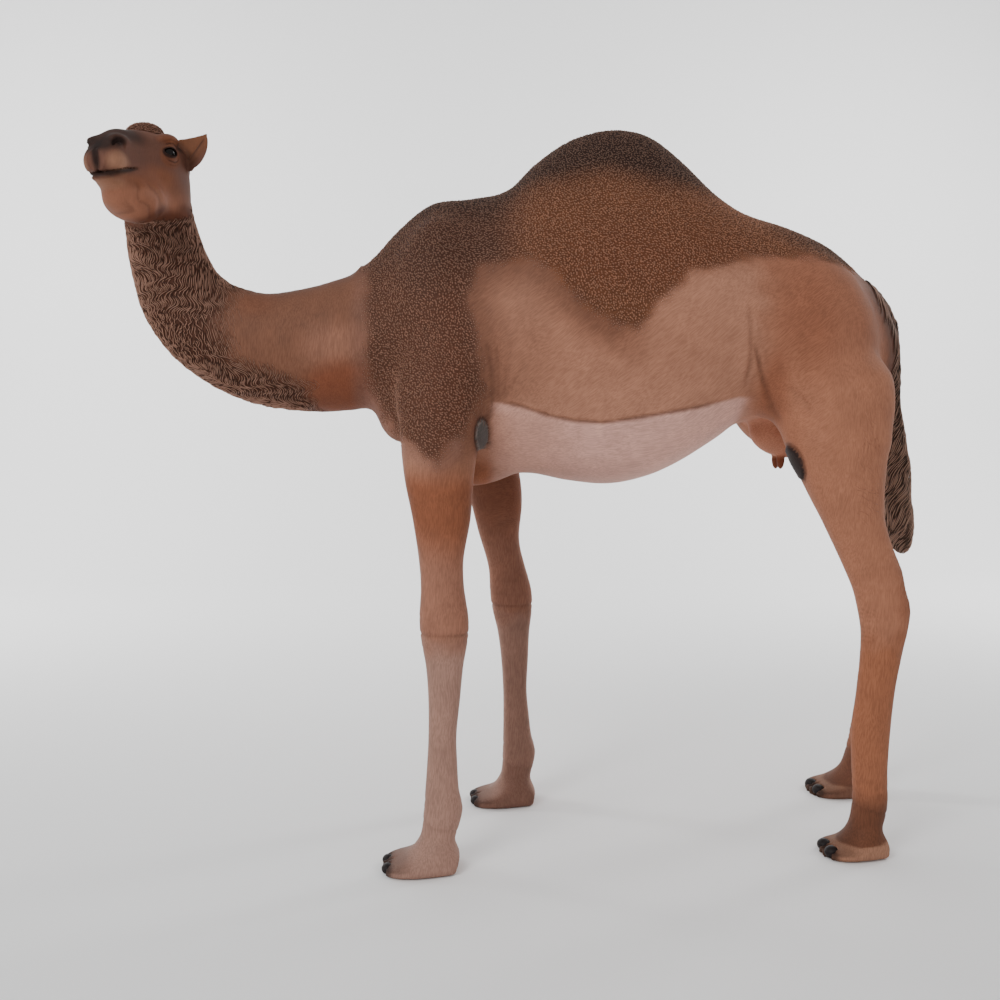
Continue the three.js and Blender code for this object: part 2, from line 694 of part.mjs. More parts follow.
// A thin cupped leaf, closed all round: x along it, y across, z its hollow side.
function leaf({ length, upper, lower, cup, wall }) {
  const [rings, spokes] = [7, 8];
  const root = (u, reach) => min(u / reach, 1) * (2 - min(u / reach, 1));
  const above = (u) => upper * (1 - u) * (0.2 + 0.8 * root(u, 0.28));
  const below = (u) => lower * (1 - u ** 3) * (0.8 + 0.2 * root(u, 0.3));
  const positions = [];
  const triangles = [];
  for (let i = 0; i <= rings; i += 1) {
    const u = 0.995 * i / rings;
    for (let j = 0; j < spokes; j += 1) {
      const turn = 2 * Math.PI * j / spokes;
      const across = (cos(turn) > 0 ? above(u) : below(u)) * cos(turn);
      const bend = cup * (across / lower) ** 2 * (1 - 0.55 * u);
      const thick = wall * (1 - 0.6 * u) * sin(turn) / 2;
      positions.push(length * u, across, bend + thick);
    }
  }
  for (let i = 0; i < rings; i += 1) {
    for (let j = 0; j < spokes; j += 1) {
      const [a, b] = [i * spokes + j, i * spokes + (j + 1) % spokes];
      triangles.push(a, b, b + spokes, a, b + spokes, a + spokes);
    }
  }
  for (let j = 1; j < spokes - 1; j += 1) {
    triangles.push(0, j + 1, j);
    const end = rings * spokes;
    triangles.push(end, end + j, end + j + 1);
  }
  return [positions, triangles];
}

for (const [side, sign] of [['left', 1], ['right', -1]]) {
  const [positions, triangles] = leaf(EAR);
  const frame = new THREE.Matrix4().makeBasis(
    ...[EAR.along, EAR.across, EAR.out].map((axis) => new THREE.Vector3(...axis).normalize()),
  ).setPosition(...EAR.at);
  const mirror = new THREE.Matrix4().makeScale(1, sign, 1);
  const place = headFrame.clone().multiply(mirror).multiply(frame);
  const geometry = new THREE.BufferGeometry();
  geometry.setAttribute('position', new THREE.Float32BufferAttribute(positions, 3));
  geometry.applyMatrix4(place);
  if (place.determinant() < 0) triangles.reverse();
  const ear = toManifold(geometry.attributes.position.array, new Uint32Array(triangles));
  const outward = new THREE.Vector3().setFromMatrixColumn(place, 0).multiplyScalar(CUT);
  addPart(`ear_${side}`,
    ear.subtract(headWhole).translate(outward.toArray()).subtract(crown(2 * CUT)), PAINT.tan);
}

// The mouth's slit parts the lower jaw, back to a cut below the eye.
const [lipX, lipZ] = MOUTH.front;
const [cornerX, cornerZ] = MOUTH.corner;
const slope = Math.atan2(lipZ - cornerZ, lipX - cornerX);
const mouthFrame = headFrame.clone()
  .multiply(new THREE.Matrix4().makeRotationY(-slope).setPosition(cornerX, 0, cornerZ));
const jawBlock = (grow) => block([JAW_BACK - grow, -FAR, -FAR], [FAR, FAR, grow], mouthFrame)
  .subtract(belowThroat);
const jaw = head.intersect(jawBlock(0));
head = head.subtract(jawBlock(CUT));
addPart('jaw', jaw, PAINT.tan);
addPart('head', head, PAINT.tan);

// ---------------------------------------------------------------- origin

const bounds = new THREE.Box3().setFromObject(group);
group.position.set(
  -(bounds.min.x + bounds.max.x) / 2, -(bounds.min.y + bounds.max.y) / 2, -bounds.min.z);

export default group;
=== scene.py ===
# %% [markdown]
# # A life-size painted camel
# The real object is a statue: a hollow cast of glass-fibre resin, life size, with the coat
# modelled in its surface and then painted and dry-brushed by hand. The plain solids of the
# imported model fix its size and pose. This lesson dresses them: one fine skin over all the
# flesh, modelled locks and curls on it, glassy eyes, dark nails, and the paint.

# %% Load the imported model
import math

import bpy
import numpy as np
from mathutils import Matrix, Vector


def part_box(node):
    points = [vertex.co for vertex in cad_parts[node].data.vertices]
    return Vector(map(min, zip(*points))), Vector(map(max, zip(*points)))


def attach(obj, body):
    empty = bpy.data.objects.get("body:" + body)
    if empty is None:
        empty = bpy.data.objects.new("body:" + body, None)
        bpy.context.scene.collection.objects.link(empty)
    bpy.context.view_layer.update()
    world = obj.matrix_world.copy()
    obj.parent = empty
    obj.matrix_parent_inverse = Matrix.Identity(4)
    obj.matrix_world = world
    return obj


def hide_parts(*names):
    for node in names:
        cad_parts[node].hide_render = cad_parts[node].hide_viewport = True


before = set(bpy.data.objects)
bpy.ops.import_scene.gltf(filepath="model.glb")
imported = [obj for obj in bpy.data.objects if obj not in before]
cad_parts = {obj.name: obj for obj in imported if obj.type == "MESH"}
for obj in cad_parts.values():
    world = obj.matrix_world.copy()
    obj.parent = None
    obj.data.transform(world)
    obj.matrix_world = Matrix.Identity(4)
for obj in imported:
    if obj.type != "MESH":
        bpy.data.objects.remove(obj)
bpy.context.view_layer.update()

# %% [markdown]
# The shapes are worked out in millimetres in the body's own coordinates, with the camel facing
# -X and her left side at -Y, as the solids were drawn. Two numbers join those coordinates to
# the frame: the scale, and the shift that the solids got when their origin was put under them.
# The shift is read from a solid whose place is known in both, the left eye.

# %% Scale, head and shift
MM = 0.001
GROUND = -8  # height of the soles

# The head's place and its angles in degrees: the turn to her left, the nod, which is negative
# with the nose down, and the lean. The eye's place is in the head's own coordinates.
HEAD = {"at": (-962, -125, 1942), "turn": 72, "nod": -7, "lean": 2}
EYE = {"at": (4.4, 62, -14), "radius": 21}


def unit(v):
    """The vector at length 1."""
    v = np.asarray(v, float)
    return v / np.linalg.norm(v)


def unit_rows(vectors):
    """Each row at length 1."""
    return vectors / np.linalg.norm(vectors, axis=1)[:, None]


def head_axes():
    """The head's own axes in the body's coordinates: ahead, to its left, and up."""
    turn, nod, lean = (math.radians(HEAD[k]) for k in ("turn", "nod", "lean"))
    ahead = np.array([-math.cos(turn) * math.cos(nod), -math.sin(turn) * math.cos(nod), math.sin(nod)])
    left = np.array([math.sin(turn), -math.cos(turn), 0.0])
    up = np.cross(ahead, left)
    leaned_left = left * math.cos(lean) + up * math.sin(lean)
    leaned_up = up * math.cos(lean) - left * math.sin(lean)
    return np.stack([ahead, leaned_left, leaned_up])


HEAD_AXES = head_axes()


def from_head(points):
    """Points of the head's own coordinates, in the body's."""
    return np.asarray(points, float) @ HEAD_AXES + np.array(HEAD["at"], float)


def to_head(x, y, z):
    """The body's coordinates in the head's own."""
    hx, hy, hz = (v - c for v, c in zip((x, y, z), HEAD["at"]))
    return [a[0] * hx + a[1] * hy + a[2] * hz for a in HEAD_AXES]


eye_low, eye_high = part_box("eye_left")
SHIFT = (np.array(eye_low) + np.array(eye_high)) / 2 / MM - from_head(EYE["at"])


def to_frame(points):
    """Millimetres of the body's coordinates to metres of the frame."""
    return (np.asarray(points, float) + SHIFT) * MM


print("shift of the solids, mm", SHIFT.round(2))

# %% [markdown]
# The camera comes first. It stands level with the belly, a little ahead of the camel's left
# side, and looks slightly down, so the head is seen from below and the back from the side.

# %% Camera
CAMERA = {"at": (-225, -2859, 1151), "azimuth": -4.5, "down": 3.24, "lens": 35}

camera_data = bpy.data.cameras.new("camera")
camera_data.lens = CAMERA["lens"]
camera_data.sensor_width = 36
camera_data.clip_end = 100
camera = bpy.data.objects.new("camera", camera_data)
camera.location = to_frame(CAMERA["at"])
camera.rotation_euler = (math.radians(90 - CAMERA["down"]), 0, math.radians(CAMERA["azimuth"]))
bpy.context.scene.collection.objects.link(camera)
bpy.context.scene.camera = camera
print("camera at", [round(v, 3) for v in camera.location])

# %% [markdown]
# ## The skin as a field
# A camel's body is smooth from end to end, so it is drawn as a field: a function of place that
# is negative inside and about the distance to the surface elsewhere. Box modelling or sculpting
# could give such a skin too, but a field lets a leg melt into the belly with no seam, and its
# named sizes are the ones that the solids were made from.
#
# The field is built from a few pieces: a curve through the rows of a table, an oval section, an
# ellipsoid, and a rounded union and difference. They work on whole arrays of places at once,
# because the skin asks for the field at more than a million places.

# %% Curves, ovals and rounded unions


def track(rows):
    """A smooth curve through rows of position and values, as a function of position."""
    stops = np.array(rows, float)
    if stops[0, 0] > stops[-1, 0]:
        stops = stops[::-1]
    at, values = stops[:, 0], stops[:, 1:]
    last = len(at) - 1
    before = np.maximum(np.arange(last + 1) - 1, 0)
    after = np.minimum(np.arange(last + 1) + 1, last)
    slopes = (values[after] - values[before]) / (at[after] - at[before])[:, None]

    def curve(t):
        i = np.clip(np.searchsorted(at, t, side="right") - 1, 0, last - 1)
        span = at[i + 1] - at[i]
        u = np.clip((t - at[i]) / span, 0, 1)
        ease = u * u * (3 - 2 * u)
        rise, fall = span * u * (1 - u) ** 2, span * u * u * (u - 1)
        return [values[i, c] * (1 - ease) + values[i + 1, c] * ease
                + slopes[i, c] * rise + slopes[i + 1, c] * fall
                for c in range(values.shape[1])]

    return curve


def oval(across, along, half, reach, power):
    """About the distance from an oval outline of radii half and reach."""
    a, b = np.abs(across) / half, np.abs(along) / reach
    if isinstance(power, int):
        ratio = np.hypot(a, b)
    else:
        ratio = (a ** power + b ** power) ** (1 / power)
    return np.hypot(across, along) * (1 - 1 / np.maximum(ratio, 1e-6))


def blend(k, a, b):
    """Smooth union of two distances, rounded over k millimetres."""
    h = np.maximum(k - np.abs(a - b), 0) / k
    return np.minimum(a, b) - h * h * k / 4


def carve(k, a, b):
    """Smooth difference: a with b carved out of it."""
    return -blend(k, -a, b)


def lump(x, y, z, at, size):
    """An ellipsoid."""
    px, py, pz = x - at[0], y - at[1], z - at[2]
    rx, ry, rz = size
    k = np.sqrt((px / rx) ** 2 + (py / ry) ** 2 + (pz / rz) ** 2)
    g = np.sqrt((px / rx ** 2) ** 2 + (py / ry ** 2) ** 2 + (pz / rz ** 2) ** 2)
    return k * (k - 1) / np.maximum(g, 1e-6)


def line_distance(x, z, points):
    """Distance in the side view from a line through points, and how far along it that is."""
    best, along = np.full(len(x), 1e9), np.zeros(len(x))
    count = len(points) - 1
    for i, (p, q) in enumerate(zip(points[:-1], points[1:])):
        dx, dz = q[0] - p[0], q[1] - p[1]
        u = np.clip(((x - p[0]) * dx + (z - p[1]) * dz) / (dx * dx + dz * dz), 0, 1)
        away = np.hypot(x - p[0] - u * dx, z - p[1] - u * dz)
        closer = away < best
        best = np.where(closer, away, best)
        along = np.where(closer, (i + u) / count, along)
    return best, along


# %% Bodies along a curve


def barrel(rows):
    """A body along X from sections like TRUNK's."""
    at = track(rows)
    first, last = rows[0][0], rows[-1][0]

    def field(x, y, z):
        top, bottom, half, widest, crown, keel = at(x)
        above = z > widest
        reach = np.where(above, top - widest, widest - bottom)
        side = oval(y, z - widest, half, reach, np.where(above, crown, keel))
        return np.maximum(side, np.maximum(first - x, x - last))

    return field


def limb(rows, steps=4):
    """A bent body along a curve, from rows like NECK's."""
    at = track([[i, *row] for i, row in enumerate(rows)])
    points = np.array(at(np.arange((len(rows) - 1) * steps + 1) / steps)).T

    def field(x, y, z):
        best = np.full(np.shape(x), 1e9)
        for p, q in zip(points[:-1], points[1:]):
            d = q[:3] - p[:3]
            u = ((x - p[0]) * d[0] + (y - p[1]) * d[1] + (z - p[2]) * d[2]) / (d @ d)
            u = np.clip(u, 0, 1)
            ox, oy, oz = x - p[0] - u * d[0], y - p[1] - u * d[1], z - p[2] - u * d[2]
            deep, broad = p[3] + u * (q[3] - p[3]), p[4] + u * (q[4] - p[4])
            best = np.minimum(best, oval(oy, np.hypot(ox, oz), broad, deep, 2))
        return best

    return field


def wire(x, y, z, path):
    """Distance from a round wire through points (x, y, z, radius)."""
    best = np.full(np.shape(x), 1e9)
    for p, q in zip(np.array(path[:-1], float), np.array(path[1:], float)):
        d = q[:3] - p[:3]
        u = np.clip(((x - p[0]) * d[0] + (y - p[1]) * d[1] + (z - p[2]) * d[2]) / (d @ d), 0, 1)
        away = np.sqrt((x - p[0] - u * d[0]) ** 2 + (y - p[1] - u * d[1]) ** 2
                       + (z - p[2] - u * d[2]) ** 2)
        best = np.minimum(best, away - p[3] - u * (q[3] - p[3]))
    return best


# %% [markdown]
# The head gets the most care. Its plain form is a skull with cheeks, brows, lips and a jowl.
# The skin adds what a solid leaves out: lids that wrap the eye and leave an almond between
# them, a comma-shaped nostril, the slit of the mouth, the split of the upper lip, and two
# cupped ears. Its sizes are in its own coordinates: ahead of the eyes, to its left, and up.

# %% Sizes of the head
SKULL = [
    # x ahead of the eyes, top, bottom, half width, widest height, roundness above and below
    [-140, -4, -70, 40, -34, 2.0, 2.0],
    [-105, 26, -112, 60, -28, 2.0, 1.9],
    [-55, 46, -140, 71, -22, 2.0, 1.8],
    [0, 46, -146, 77, -20, 2.1, 1.8],
    [50, 44, -138, 62, -30, 2.2, 1.8],
    [100, 37, -126, 50, -45, 2.2, 1.9],
    [150, 30, -116, 47, -52, 2.2, 2.0],
    [190, 10, -106, 48, -54, 2.2, 2.1],
    [216, -16, -96, 42, -56, 2.1, 2.1],
    [234, -34, -86, 24, -60, 2.0, 2.0],
]
FEATURES = [
    # centre x, |y|, z, then length, breadth, height, then how softly it blends
    [(-35, 48, -80), (62, 25, 56), 22],  # cheek
    [(-6, 61, 21), (40, 22, 17), 14],  # brow
    [(202, 24, -58), (30, 27, 32), 12],  # upper lip
    [(175, 30, -8), (36, 21, 18), 14],  # nostril rim
    [(188, 0, -105), (34, 32, 16), 12],  # chin
    [(82, 0, -134), (108, 69, 63), 30],  # jowl
]
EYE_HOLLOW = {"at": (5, 86, -14), "size": (18, 14, 12)}
LIDS = {"half": 19, "above": 12, "below": 9.5, "wall": 2.4, "rim": 2.4, "tilt": 0.18, "forward": 30}
NOSTRIL = {"path": [(206, 33, -25, 2), (203, 36, -15, 3.6), (195, 43, -9, 5), (184, 48, -13, 4.5),
                    (177, 47, -24, 3)]}
MOUTH = {"front": (236, -89), "corner": (131, -68), "bow": 3, "gap": 1.3, "depth": 9}
LIP = {"at": (219, 0, -99), "size": (17, 27, 9)}
PHILTRUM = {"from": 200, "top": -30, "bottom": -84, "gap": 1.2, "depth": 3}
CROWN = {"at": (-15, -12, 45), "size": (54, 52, 33)}
CROWN_COAT = 5  # depth of the crown's curls
EAR = {"at": (-92, 64, -16), "length": 92, "upper": 74, "lower": 54, "cup": 15, "wall": 7}
EAR_AXES = np.linalg.inv(np.stack([
    unit((-0.08, 0.69, 0.72)),  # from the base to the tip
    unit((-0.25, -0.68, 0.69)),  # across
    unit((0.96, -0.12, 0.24)),  # out of the hollow side
]).T)

# %% The ears and lids


def on_ear(x, y, z):
    """How far places of the head are along an ear, across it and out of its hollow side."""
    px, py, pz = x - EAR["at"][0], np.abs(y) - EAR["at"][1], z - EAR["at"][2]
    return [a[0] * px + a[1] * py + a[2] * pz for a in EAR_AXES]


def ear_field(x, y, z):
    """Both ears: a thin cupped leaf each, in the head's coordinates."""
    along, across, out = on_ear(x, y, z)
    u = np.clip(along / EAR["length"], 0, 1)
    root, wide_root = np.minimum(u / 0.28, 1), np.minimum(u / 0.3, 1)
    above = EAR["upper"] * (1 - u) * (0.2 + 0.8 * root * (2 - root))
    below = EAR["lower"] * (1 - u ** 3) * (0.8 + 0.2 * wide_root * (2 - wide_root))
    outline = np.where(across > 0, above, below) - 1
    bend = EAR["cup"] * (across / EAR["lower"]) ** 2 * (1 - 0.55 * u)
    fold = 5 * np.exp(-((across + 12 - 6 * u) / 6) ** 2) * np.clip(1.2 - u, 0, 1)
    wall = EAR["wall"] * (1 - 0.35 * u) / 2
    sheet = np.abs(out - bend - fold) - wall
    edge = np.maximum(np.abs(across) - outline, along - EAR["length"])
    return -blend(5, -sheet, -np.maximum(edge, -16 - along))


def lid_field(x, y, z, d):
    """The lids over both eyes, and the almond opening between them."""
    px, py, pz = x - EYE["at"][0], np.abs(y) - EYE["at"][1], z - EYE["at"][2]
    cover = EYE["radius"] + LIDS["wall"]
    ball = np.sqrt(px ** 2 + py ** 2 + pz ** 2) - cover
    d = blend(9, d, ball)
    turn, tilt = math.radians(LIDS["forward"]), LIDS["tilt"]
    px, py = px * math.cos(turn) - py * math.sin(turn), px * math.sin(turn) + py * math.cos(turn)
    ax, az = px * math.cos(tilt) + pz * math.sin(tilt), pz * math.cos(tilt) - px * math.sin(tilt)
    height = np.where(az > 0, LIDS["above"], LIDS["below"])
    almond = oval(ax, az, LIDS["half"], height, 1.75)
    opening = np.maximum(np.maximum(almond, 6 - py), -ball - LIDS["wall"] - 4)
    d = carve(2, d, opening)
    rim = np.hypot(almond - 0.6, ball + 0.2) - LIDS["rim"]
    return np.where(py > 4, blend(3, d, rim), d)


# %% The head's field
skull = barrel(SKULL)


def mouth_height(x):
    """Height of the straight line from the mouth's corner to its front."""
    (front, low), (corner, high) = MOUTH["front"], MOUTH["corner"]
    return high + (low - high) / (front - corner) * (x - corner)


def head_field(x, y, z):
    """The head, in its own coordinates."""
    d = skull(x, y, z)
    side = np.abs(y)
    for at, size, k in FEATURES:
        d = blend(k, d, lump(x, side, z, at, size))
    d = carve(6, d, lump(x, side, z, EYE_HOLLOW["at"], EYE_HOLLOW["size"]))
    d = blend(10, d, lump(x, y, z, LIP["at"], LIP["size"]))
    d = blend(8, d, lump(x, y, z, CROWN["at"], [s - CROWN_COAT for s in CROWN["size"]]))
    d = carve(5, d, wire(x, side, z, NOSTRIL["path"]))
    front, corner = MOUTH["front"][0], MOUTH["corner"][0]
    line = mouth_height(x) + MOUTH["bow"] * np.sin(np.pi * (x - corner) / (front - corner))
    slit = np.maximum(np.abs(z - line) - MOUTH["gap"], np.maximum(corner - x, -d - MOUTH["depth"]))
    d = carve(4, d, slit)
    groove = np.maximum(np.abs(y) - PHILTRUM["gap"], -d - PHILTRUM["depth"])
    groove = np.maximum(groove, np.maximum(PHILTRUM["from"] - x, PHILTRUM["bottom"] - z))
    d = carve(6, d, np.maximum(groove, z - PHILTRUM["top"]))
    d = lid_field(x, y, z, d)
    return blend(12, d, ear_field(x, y, z))


# %% [markdown]
# The body's field joins the trunk, neck, muscles, legs, udder and tail. A part is only worked
# out where it can matter, which keeps the lesson quick. The right legs are the left ones
# mirrored, and set back by an amount that changes with height.

# %% Sizes of the trunk and neck
TRUNK = [
    # x, top, bottom, half width, widest height, roundness above, roundness below
    [-390, 1655, 1300, 90, 1452, 2, 2],
    [-300, 1762, 1225, 155, 1452, 2, 2],
    [-200, 1842, 1142, 200, 1442, 1.9, 2.1],
    [-80, 1862, 1092, 240, 1430, 1.8, 2.2],
    [20, 1888, 1070, 272, 1420, 1.7, 2.2],
    [100, 1964, 1066, 290, 1415, 1.6, 2.2],
    [200, 2034, 1046, 302, 1410, 1.5, 2.2],
    [320, 2069, 1036, 310, 1410, 1.45, 2.2],
    [430, 2054, 1058, 312, 1415, 1.5, 2.2],
    [520, 1990, 1098, 306, 1425, 1.6, 2.2],
    [620, 1890, 1160, 290, 1440, 1.8, 2.2],
    [700, 1834, 1212, 270, 1450, 2, 2.1],
    [840, 1790, 1227, 235, 1460, 2.1, 2],
    [960, 1740, 1237, 195, 1450, 2.1, 2],
    [1060, 1664, 1252, 150, 1430, 2.1, 2],
    [1130, 1600, 1282, 105, 1420, 2, 2],
    [1180, 1512, 1332, 55, 1420, 2, 2],
]
NECK = [
    # x, y, z, depth radius, side radius
    [-230, 0, 1502, 190, 160],
    [-389, 0, 1452, 190, 146],
    [-516, 0, 1426, 180, 126],
    [-672, 0, 1424, 161, 112],
    [-812, 0, 1477, 140, 102],
    [-895, 0, 1555, 124, 95],
    [-933, -8, 1645, 110, 92],
    [-952, -22, 1731, 100, 92],
    [-957, -48, 1810, 88, 90],
    [-956, -75, 1880, 56, 72],
]
MUSCLES = [
    # centre x, |y|, z, then length, breadth, height, then how softly it blends
    [(-185, 125, 1545), (105, 95, 225), 60],  # shoulder blade
    [(-155, 185, 1300), (118, 72, 160), 50],  # upper arm
    [(-281, 50, 1266), (78, 84, 108), 50],  # breast
    [(-95, 0, 1080), (120, 84, 50), 40],  # breast pad
    [(870, 145, 1430), (190, 115, 245), 60],  # haunch
    [(905, 188, 1290), (140, 82, 150), 50],  # thigh
]
UDDER = {"at": (875, 0, 1200), "size": (125, 78, 88)}
TEATS = {"x": (841, 900), "y": 20, "z": 1108, "size": (13, 12, 30)}
TAIL = [
    # x, y, z, depth radius, side radius
    [1070, 0, 1622, 27, 31],
    [1120, 0, 1592, 29, 32],
    [1158, 0, 1542, 30, 33],
    [1183, 0, 1452, 29, 32],
    [1188, 0, 1352, 29, 33],
    [1189, 0, 1262, 31, 36],
    [1198, 0, 1182, 37, 42],
    [1208, 0, 1102, 43, 47],
    [1213, 0, 1022, 44, 48],
    [1221, 0, 942, 45, 47],
    [1230, 0, 862, 37, 40],
    [1235, 0, 834, 18, 20],
]
TAIL_CORE = 0.82  # share of the tail's thickness that is under its strands

# %% Sizes of the legs
LEGS = {
    # sections down a left leg: z, front edge, back edge, middle of the width, half the width
    "fore": [
        [1432, -215, -135, -150, 34],
        [1342, -285, -70, -165, 88],
        [1160, -287, -75, -202, 92],
        [1057, -277, -88, -218, 78],
        [950, -256, -97, -226, 66],
        [842, -240, -116, -231, 58],
        [765, -235, -115, -233, 54],
        [680, -239, -103, -236, 59],
        [620, -234, -106, -238, 57],
        [550, -222, -118, -239, 47],
        [460, -216, -127, -240, 41],
        [360, -216, -137, -241, 38],
        [280, -220, -135, -242, 40],
        [212, -225, -131, -243, 46],
        [157, -229, -121, -243, 51],
        [90, -237, -138, -243, 50],
        [30, -264, -160, -243, 50],
    ],
    "hind": [
        [1432, 912, 1026, -150, 34],
        [1342, 819, 1097, -175, 96],
        [1165, 789, 1084, -206, 102],
        [1110, 800, 1071, -212, 95],
        [1054, 830, 1064, -218, 86],
        [999, 857, 1060, -223, 77],
        [943, 886, 1062, -227, 68],
        [880, 916, 1080, -230, 60],
        [803, 952, 1112, -233, 53],
        [746, 976, 1125, -235, 50],
        [690, 990, 1139, -237, 48],
        [633, 1000, 1133, -238, 46],
        [576, 1000, 1120, -239, 43],
        [463, 990, 1099, -241, 39],
        [349, 976, 1087, -243, 39],
        [234, 981, 1080, -243, 43],
        [142, 986, 1080, -243, 50],
        [80, 976, 1068, -243, 48],
        [30, 950, 1040, -243, 48],
    ],
}
# How far the right legs stand behind the left ones, by height.
STRIDE = {
    "fore": [[1420, 40], [1200, 110], [1045, 172], [868, 193], [736, 219], [606, 229],
             [475, 237], [310, 247], [211, 253], [0, 264]],
    "hind": [[1430, 60], [1165, 160], [1110, 178], [1000, 192], [880, 202], [745, 215],
             [633, 228], [455, 236], [353, 243], [286, 232], [218, 217], [150, 202],
             [70, 188], [0, 176]],
}
FOOT_AT = {"fore": (-232, 1.0, 1.0), "hind": (990, 0.88, 1.04)}  # X, then scale left and right
FOOT_Y = 243
FOOT = [
    # along the foot from toe to heel, height of the top, half the width
    [-108, 8, 24],
    [-98, 24, 56],
    [-70, 35, 78],
    [-30, 49, 85],
    [10, 79, 82],
    [50, 98, 74],
    [82, 76, 64],
    [100, 48, 46],
    [108, 16, 18],
]
SOLE_EDGE = 18  # height above the ground where the foot is widest
HEEL = {"from": 86, "slant": 0.42}  # the heel's underside rises to the back
TOE_CLEFT = {"length": 34, "width": 3, "top": 60}
NAIL_SEAT = 1  # how much smaller than the nail its seat is, so that no gap shows round it
NAILS = {
    "fore": {"ahead": -95, "aside": 29, "height": 15, "size": (16, 19, 14)},
    "hind": {"ahead": -87, "aside": 29, "height": 18, "size": (20, 20, 17)},
}

# %% The body's parts
trunk_field = barrel(TRUNK)
neck_field = limb(NECK)
tail_field = limb([[x, y, z, deep * TAIL_CORE, broad * TAIL_CORE] for x, y, z, deep, broad in TAIL])
leg_shafts = {kind: track(rows) for kind, rows in LEGS.items()}
set_back = {kind: track(rows) for kind, rows in STRIDE.items()}
foot_shape = track(FOOT)


def leg_field(kind, x, y, z):
    """Both legs of a kind. Places on the right are turned into places on the left one."""
    back = np.where(y > 0, set_back[kind](z)[0], 0)
    x, side = x - back, -np.abs(y)
    front, rear, middle, half = leg_shafts[kind](z)
    shaft = oval(side - middle, x - (front + rear) / 2, half, (rear - front) / 2, 2.15)
    shaft = np.maximum(shaft, np.maximum(z - LEGS[kind][0][0], LEGS[kind][-1][0] - z))
    at, *scales = FOOT_AT[kind]
    scale = np.where(y > 0, scales[1], scales[0])
    along, across = (x - at) / scale, (side + FOOT_Y) / scale
    top, half = foot_shape(along)
    up = (z - GROUND - SOLE_EDGE) / scale
    reach = np.where(up > 0, np.maximum(top - SOLE_EDGE, 4), 1.5 * SOLE_EDGE)
    pad = oval(across, up, half, reach, 2.3)
    pad = np.maximum(pad, np.maximum(FOOT[0][0] - along, along - FOOT[-1][0]))
    pad = np.maximum(pad, along - HEEL["from"] - HEEL["slant"] * (z - GROUND)) * scale
    d = blend(30, shaft, pad)
    toe = at + FOOT[0][0] * scale
    cleft = np.maximum(np.abs(side + FOOT_Y) - TOE_CLEFT["width"] / 2, x - toe - TOE_CLEFT["length"])
    d = carve(6, d, np.maximum(cleft, z - TOE_CLEFT["top"]))
    nail = NAILS[kind]
    for aside in (-1, 1):
        middle = (at + nail["ahead"] * scale, -FOOT_Y + aside * nail["aside"] * scale,
                  GROUND + nail["height"])
        d = carve(3, d, lump(x, side, z, middle, [s - NAIL_SEAT for s in nail["size"]]))
    return d


# %% The whole field


def body_field(x, y, z):
    """The whole skin, in the body's coordinates."""
    d = trunk_field(x, y, z)

    def join(where, k, part):
        """Blends a part in where it can matter; part takes the places there."""
        i = np.flatnonzero(where)
        if len(i):
            d[i] = blend(k, d[i], part(x[i], y[i], z[i]))

    join(x < 40, 60, neck_field)
    for at, size, k in MUSCLES:
        reach = max(size) + k
        near = (np.abs(x - at[0]) < reach) & (np.abs(z - at[2]) < reach)
        join(near, k, lambda px, py, pz: lump(px, np.abs(py), pz, at, size))
    join((z < 1500) & (x < 330), 50, lambda *p: leg_field("fore", *p))
    join((z < 1500) & (x > 600), 50, lambda *p: leg_field("hind", *p))
    join((x > 600) & (x < 1050) & (z < 1340), 25, lambda *p: lump(*p, UDDER["at"], UDDER["size"]))
    for teat_x in TEATS["x"]:
        near = (np.abs(x - teat_x) < 45) & (np.abs(z - TEATS["z"]) < 66) & (np.abs(y) < 80)
        join(near, 8, lambda px, py, pz: lump(px, np.abs(py), pz, (teat_x, TEATS["y"], TEATS["z"]),
                                              TEATS["size"]))
    join((x > 1000) & (z > 800), 30, tail_field)
    join((x < -700) & (z > 1640), 34, lambda *p: head_field(*to_head(*p)))
    return np.maximum(d, GROUND - z)


def downhill(points, step=0.5):
    """The field at places, and its slope there, which points out of the skin."""
    slope = np.empty_like(points)
    for axis in range(3):
        ahead, behind = points.copy(), points.copy()
        ahead[:, axis] += step
        behind[:, axis] -= step
        slope[:, axis] = (body_field(*ahead.T) - body_field(*behind.T)) / (2 * step)
    return body_field(*points.T), slope


# %% [markdown]
# ## From field to mesh
# Blender's voxel remesh could follow the solids, but at one voxel size: fine enough for a lid,
# it would put millions of faces on the belly. So the mesh is made from the field by dual
# contouring on blocks that are split finer where there is more to show. Each cell that the
# surface crosses gets one vertex, and each crossed edge gets a face between the cells round it,
# whatever their sizes, so there are no gaps between the coarse parts and the fine ones.

